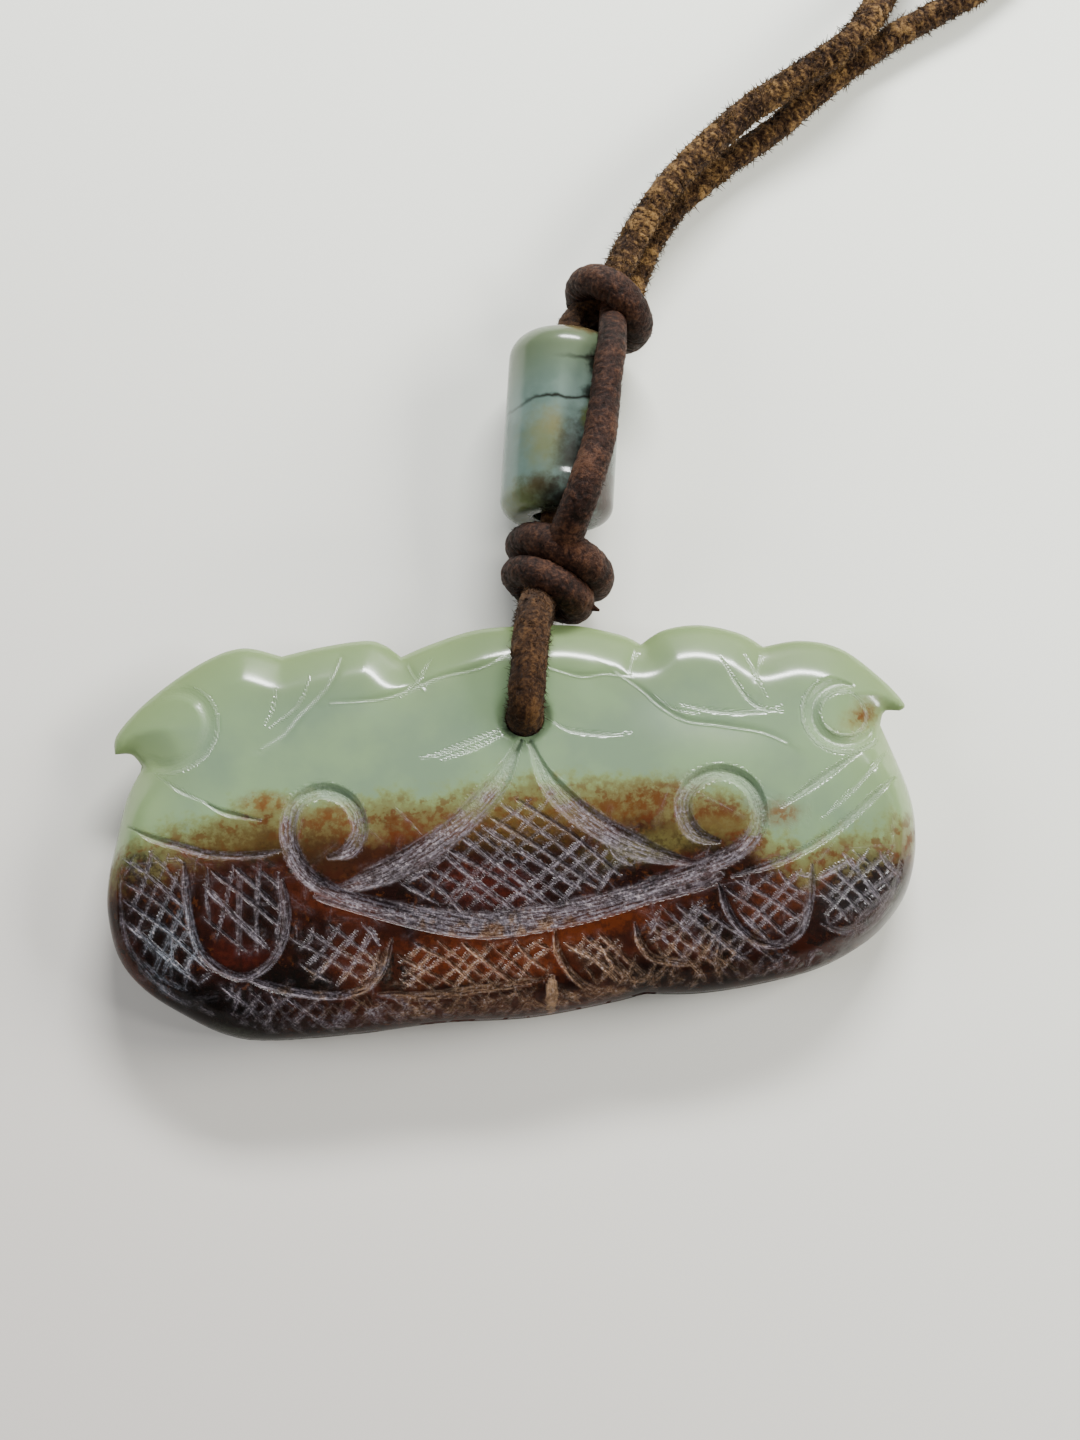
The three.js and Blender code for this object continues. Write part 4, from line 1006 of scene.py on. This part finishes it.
def makeJade():
    material, tree, shader, coords = newMaterial("polished nephrite jade")
    cloud = noiseOn(tree, coords, 7.0, 4.0)
    blotch = noiseOn(tree, coords, 2.4, 4.0, 0.6)
    mottle = noiseOn(tree, coords, 0.9, 3.0, 0.6, offset=(7.0, 3.0, 0.0))
    speck = noiseOn(tree, coords, 0.4, 3.0, 0.65)
    frost, skin, thin, across, along = (
        addNode(tree, "ShaderNodeAttribute", attribute_name=name).outputs["Fac"]
        for name in ("frost", "skin", "thin", "across", "along"))

    green = mixColour(tree, spread(tree, cloud, 0.35, 0.65), linear("5f725a"), linear("697f5d"))
    green = mixColour(tree, times(tree, thin, 0.85), green, linear("6c7e50"))
    ragged = plus(tree, skin, times(tree, minus(tree, blotch, 0.5), 3.4))
    ragged = plus(tree, ragged, times(tree, minus(tree, mottle, 0.5), 3.0))
    ragged = plus(tree, ragged, times(tree, minus(tree, speck, 0.5), 1.6))
    stain = ramp(tree, spread(tree, ragged, -1.0, 7.0), [
        (0.0, "66744a"), (0.08, "5a5d3a"), (0.26, "50492b"), (0.4, "40321c"), (0.52, "2c190e"),
        (0.66, "1b0d08"), (1.0, "130705")])
    colour = mixColour(tree, spread(tree, ragged, -1.2, 0.1), green, stain)
    # rust in grains along the border, and redder clouds lower down where the stone is clearer
    border = times(tree, spread(tree, skin, -0.6, 0.8), spread(tree, skin, 4.5, 2.0))
    grains = times(tree, times(tree, spread(tree, mottle, 0.52, 0.6), border), 0.6)
    colour = mixColour(tree, grains, colour, linear("492410"))
    clear = times(tree, spread(tree, cloud, 0.48, 0.62), spread(tree, skin, 3.0, 5.0))
    colour = mixColour(tree, times(tree, clear, 0.6), colour, linear("31140a"))
    # amber grains where the stone is clearer, and black ones
    amber = times(tree, spread(tree, speck, 0.54, 0.62), spread(tree, skin, 0.5, 2.5))
    amber = times(tree, amber, spread(tree, blotch, 0.42, 0.58, 0.0, 0.45))
    colour = mixColour(tree, amber, colour, linear("47260f"))
    black = times(tree, spread(tree, mottle, 0.46, 0.38), spread(tree, skin, 2.5, 4.5))
    colour = mixColour(tree, times(tree, black, 0.7), colour, linear("0a0604"))
    ragOval = times(tree, minus(tree, mottle, 0.5), 2.2)
    grainy = spread(tree, plus(tree, mottle, speck), 0.84, 1.08, 0.4, 1.0)
    for hexColour, at, size, turn, soft, strength in skinPatches:
        share = times(tree, patch(tree, coords, ragOval, at, size, turn, soft), strength)
        colour = mixColour(tree, times(tree, share, grainy), colour, linear(hexColour))

    # scratches follow the cut: fine across it and long along it
    lane = addNode(tree, "ShaderNodeCombineXYZ", {0: times(tree, across, 7.0),
                                                  1: times(tree, along, 0.7)}).outputs[0]
    streak = addNode(tree, "ShaderNodeTexNoise", {"Vector": lane, "Scale": 1.0, "Detail": 3.0,
                                                  "Roughness": 0.6}).outputs["Fac"]
    powder = noiseOn(tree, coords, 0.22, 3.0, 0.65)
    onSkin = spread(tree, ragged, -0.6, 1.6)
    tan = patch(tree, coords, ragOval, (2.0, -11.7), (14.0, 3.3), -2, 0.3)
    frostTint = mixColour(tree, tan, linear("69636a"), linear("8a6e56"))
    blue = patch(tree, coords, ragOval, (-24.4, -8.4), (2.4, 3.0), 0, 0.7)
    frostTint = mixColour(tree, times(tree, blue, 0.55), frostTint, linear("72808a"))
    frostTint = mixColour(tree, spread(tree, powder, 0.5, 0.78), frostTint, linear("a29899"))
    frostTint = mixColour(tree, onSkin, linear("8f9f85"), frostTint)
    worn = spread(tree, plus(tree, mottle, blotch), 0.8, 1.08, 0.4, 1.0)
    rubbed = plus(tree, times(tree, streak, 0.65), times(tree, powder, 0.35))
    rubbed = spread(tree, rubbed, 0.41, 0.59, 0.1, 1.0)
    rubbed = times(tree, times(tree, frost, rubbed), worn)
    rubbed = times(tree, rubbed, spread(tree, onSkin, 0, 1, 0.35, 0.85), clamp=True)
    colour = mixColour(tree, rubbed, colour, frostTint)

    height = times(tree, plus(tree, streak, powder), frost)
    bump = addNode(tree, "ShaderNodeBump", {"Height": height, "Strength": 0.8, "Distance": 0.14 * mm})
    # the stained edge was ground but never polished
    ground = times(tree, spread(tree, thin, 0.62, 0.9), onSkin)
    rough = plus(tree, 0.2, times(tree, frost, 0.3))
    gloss = spread(tree, onSkin, 0, 1, 0.45, 0.14)
    gloss = minus(tree, gloss, times(tree, ground, 0.12))
    # only the black jade at the right end took a bright polish
    bright = patch(tree, coords, ragOval, (25.2, -7.2), (4.2, 3.2), 30, 0.8)
    gloss = plus(tree, gloss, times(tree, bright, 0.35))
    tree.links.new(colour, shader.inputs["Base Color"])
    tree.links.new(rough, shader.inputs["Roughness"])
    tree.links.new(gloss, shader.inputs["Specular IOR Level"])
    tree.links.new(bump.outputs[0], shader.inputs["Normal"])
    shader.inputs["IOR"].default_value = 1.61
    shader.inputs["Subsurface Weight"].default_value = 0.25
    shader.inputs["Subsurface Radius"].default_value = (0.9, 1.0, 0.7)
    shader.inputs["Subsurface Scale"].default_value = 0.8 * mm
    return material


# the bead's jade is bluer, with two dark veins across it and a stained foot
beadPatches = [
    ("5a5c38", (4.3, 27.4), (1.3, 1.9), 10, 0.9, 0.75),
    ("6a6440", (4.9, 28.6), (0.7, 0.9), 10, 0.9, 0.6),
    ("4d5028", (2.6, 23.2), (2.2, 1.1), 0, 0.9, 0.85),
    ("2b1e0e", (3.6, 24.0), (1.2, 0.7), -10, 0.9, 0.8),
    ("080604", (5.0, 23.0), (1.5, 1.0), 20, 0.9, 0.9),
    ("2f2a28", (6.0, 26.2), (0.9, 2.4), -8, 0.9, 0.8),
    ("100d0b", (7.2, 26.0), (0.8, 3.6), -8, 0.7, 0.85),
    ("2a1a14", (8.4, 23.4), (0.9, 2.6), -8, 0.7, 0.95),
    ("2b2422", (8.9, 27.5), (0.6, 3.0), -8, 0.9, 0.8),
    ("4e361c", (7.6, 36.3), (1.7, 0.5), -8, 0.7, 0.75),
    ("0c0b08", (8.3, 33.4), (0.6, 0.9), -10, 0.6, 0.9),
    ("100f0a", (7.8, 30.9), (0.8, 0.5), -20, 0.6, 0.9),
    ("50552a", (7.6, 29.2), (0.5, 1.0), -8, 0.6, 0.8),
]


def makeBeadJade():
    material, tree, shader, coords = newMaterial("polished bluish jade")
    cloud = noiseOn(tree, coords, 3.5, 4.0)
    fine = noiseOn(tree, coords, 0.7, 3.0)
    colour = mixColour(tree, spread(tree, cloud, 0.35, 0.65), linear("50625a"), linear("60726a"))
    x, y, _ = addNode(tree, "ShaderNodeSeparateXYZ", {0: coords}).outputs
    up = plus(tree, y, times(tree, minus(tree, cloud, 0.5), 2.0))
    colour = mixColour(tree, spread(tree, up, 30.5, 35.5), colour, linear("525e47"))
    ragged = times(tree, minus(tree, fine, 0.5), 1.6)
    for height, start, width in ((33.9, 4.6, 0.34), (30.7, 1.0, 0.26)):
        line = math2(tree, "ABSOLUTE", minus(tree, up, height))
        toRight = spread(tree, x, start, start + 4.0, 0.3 if start < 2 else 0.0, 0.95)
        vein = times(tree, spread(tree, line, width, 0.0), toRight)
        colour = mixColour(tree, vein, colour, linear("130f09"))
    for hexColour, at, size, turn, soft, strength in beadPatches:
        share = times(tree, patch(tree, coords, ragged, at, size, turn, soft), strength)
        colour = mixColour(tree, share, colour, linear(hexColour))
    bump = addNode(tree, "ShaderNodeBump", {"Height": fine, "Strength": 0.2, "Distance": 0.05 * mm})
    tree.links.new(colour, shader.inputs["Base Color"])
    tree.links.new(bump.outputs[0], shader.inputs["Normal"])
    shader.inputs["Roughness"].default_value = 0.2
    shader.inputs["IOR"].default_value = 1.61
    shader.inputs["Specular IOR Level"].default_value = 0.32
    shader.inputs["Subsurface Weight"].default_value = 0.25
    shader.inputs["Subsurface Radius"].default_value = (0.8, 1.0, 0.9)
    shader.inputs["Subsurface Scale"].default_value = 0.8 * mm
    return material


plaqueMesh = carvePlaque()
addPiece("plaque", plaqueMesh, makeJade(), "jade", "pendant")
print("plaque carved,", sum(len(face.vertices) - 2 for face in plaqueMesh.polygons), "triangles")

beadPiece = addPiece("barrelBead", makeBead(), makeBeadJade(), "bead_jade", "bead")
print("bead turned")


# the free stretches of the thong

for name, others in (("Upper", [beadPiece, upperKnot, lowerKnot, endKnot]), ("Lower", [])):
    piece, path = neckPieces[name]
    print(name, "neck strand is", round(float(pathRun(path)[-1])), "mm long")


# table and light: a white table top, lit by one lamp beyond the upper edge of the picture and a pale room

# the table top runs from plain white to painted shade towards the near left
room = {"tableSize": 3.0, "tableLitWhite": "e9ece2", "tablePaintedShade": "b9b4ae", "sky": "f4f6f8", "skyStrength": 0.15}
lamps = [
    # name, size and place in metres, power, colour, and whether the polish mirrors it
    ("window", (0.30, 0.09), (0.12, 0.46, 0.34), 7.4, "ffffff", True),
    ("side window", (0.10, 0.14), (0.62, -0.17, 0.47), 2.0, "ffffff", True),
    ("right", (0.3, 0.3), (0.55, 0.08, 0.32), 6.5, "fffdf8", False),
    ("left", (0.3, 0.4), (-0.55, 0.0, 0.32), 3.2, "f6f8ff", False),
    ("near", (0.7, 0.05), (0.0, -0.6, 0.27), 1.2, "fffaf4", False),
]


def makeTable():
    material, tree, shader, coords = newMaterial("matt white table top")
    # painted shade: the card is a touch darker and warmer towards the near left, where the lamps light it
    # least
    x, y, _ = addNode(tree, "ShaderNodeSeparateXYZ", {0: coords}).outputs
    slant = plus(tree, times(tree, x, 0.7), y)
    colour = mixColour(tree, spread(tree, slant, -90.0, 110.0), linear(room["tablePaintedShade"]),
                       linear(room["tableLitWhite"]))
    tree.links.new(colour, shader.inputs["Base Color"])
    shader.inputs["Roughness"].default_value = 0.6
    bm = bmesh.new()
    bmesh.ops.create_grid(bm, x_segments=1, y_segments=1, size=room["tableSize"] / 2)
    mesh = bpy.data.meshes.new("table")
    bm.to_mesh(mesh)
    bm.free()
    mesh.materials.append(material)
    table = bpy.data.objects.new("table", mesh)
    table.location.z = -0.02 * mm
    bpy.context.scene.collection.objects.link(table)


def addLight(name, size, place, power, colour, mirrored):
    light = bpy.data.objects.new(name, bpy.data.lights.new(name, "AREA"))
    light.data.shape = "RECTANGLE"
    light.data.size, light.data.size_y = size
    light.data.energy = power
    light.data.color = linear(colour)[:3]
    light.visible_glossy = mirrored
    light.location = place
    light.rotation_euler = Vector(place).to_track_quat("Z", "Y").to_euler()
    bpy.context.scene.collection.objects.link(light)


makeTable()
for lamp in lamps:
    addLight(*lamp)
world = bpy.data.worlds.new("room")
bpy.context.scene.world = world
world.use_nodes = True
world.node_tree.nodes["Background"].inputs["Color"].default_value = linear(room["sky"])
world.node_tree.nodes["Background"].inputs["Strength"].default_value = room["skyStrength"]
print("lights placed")
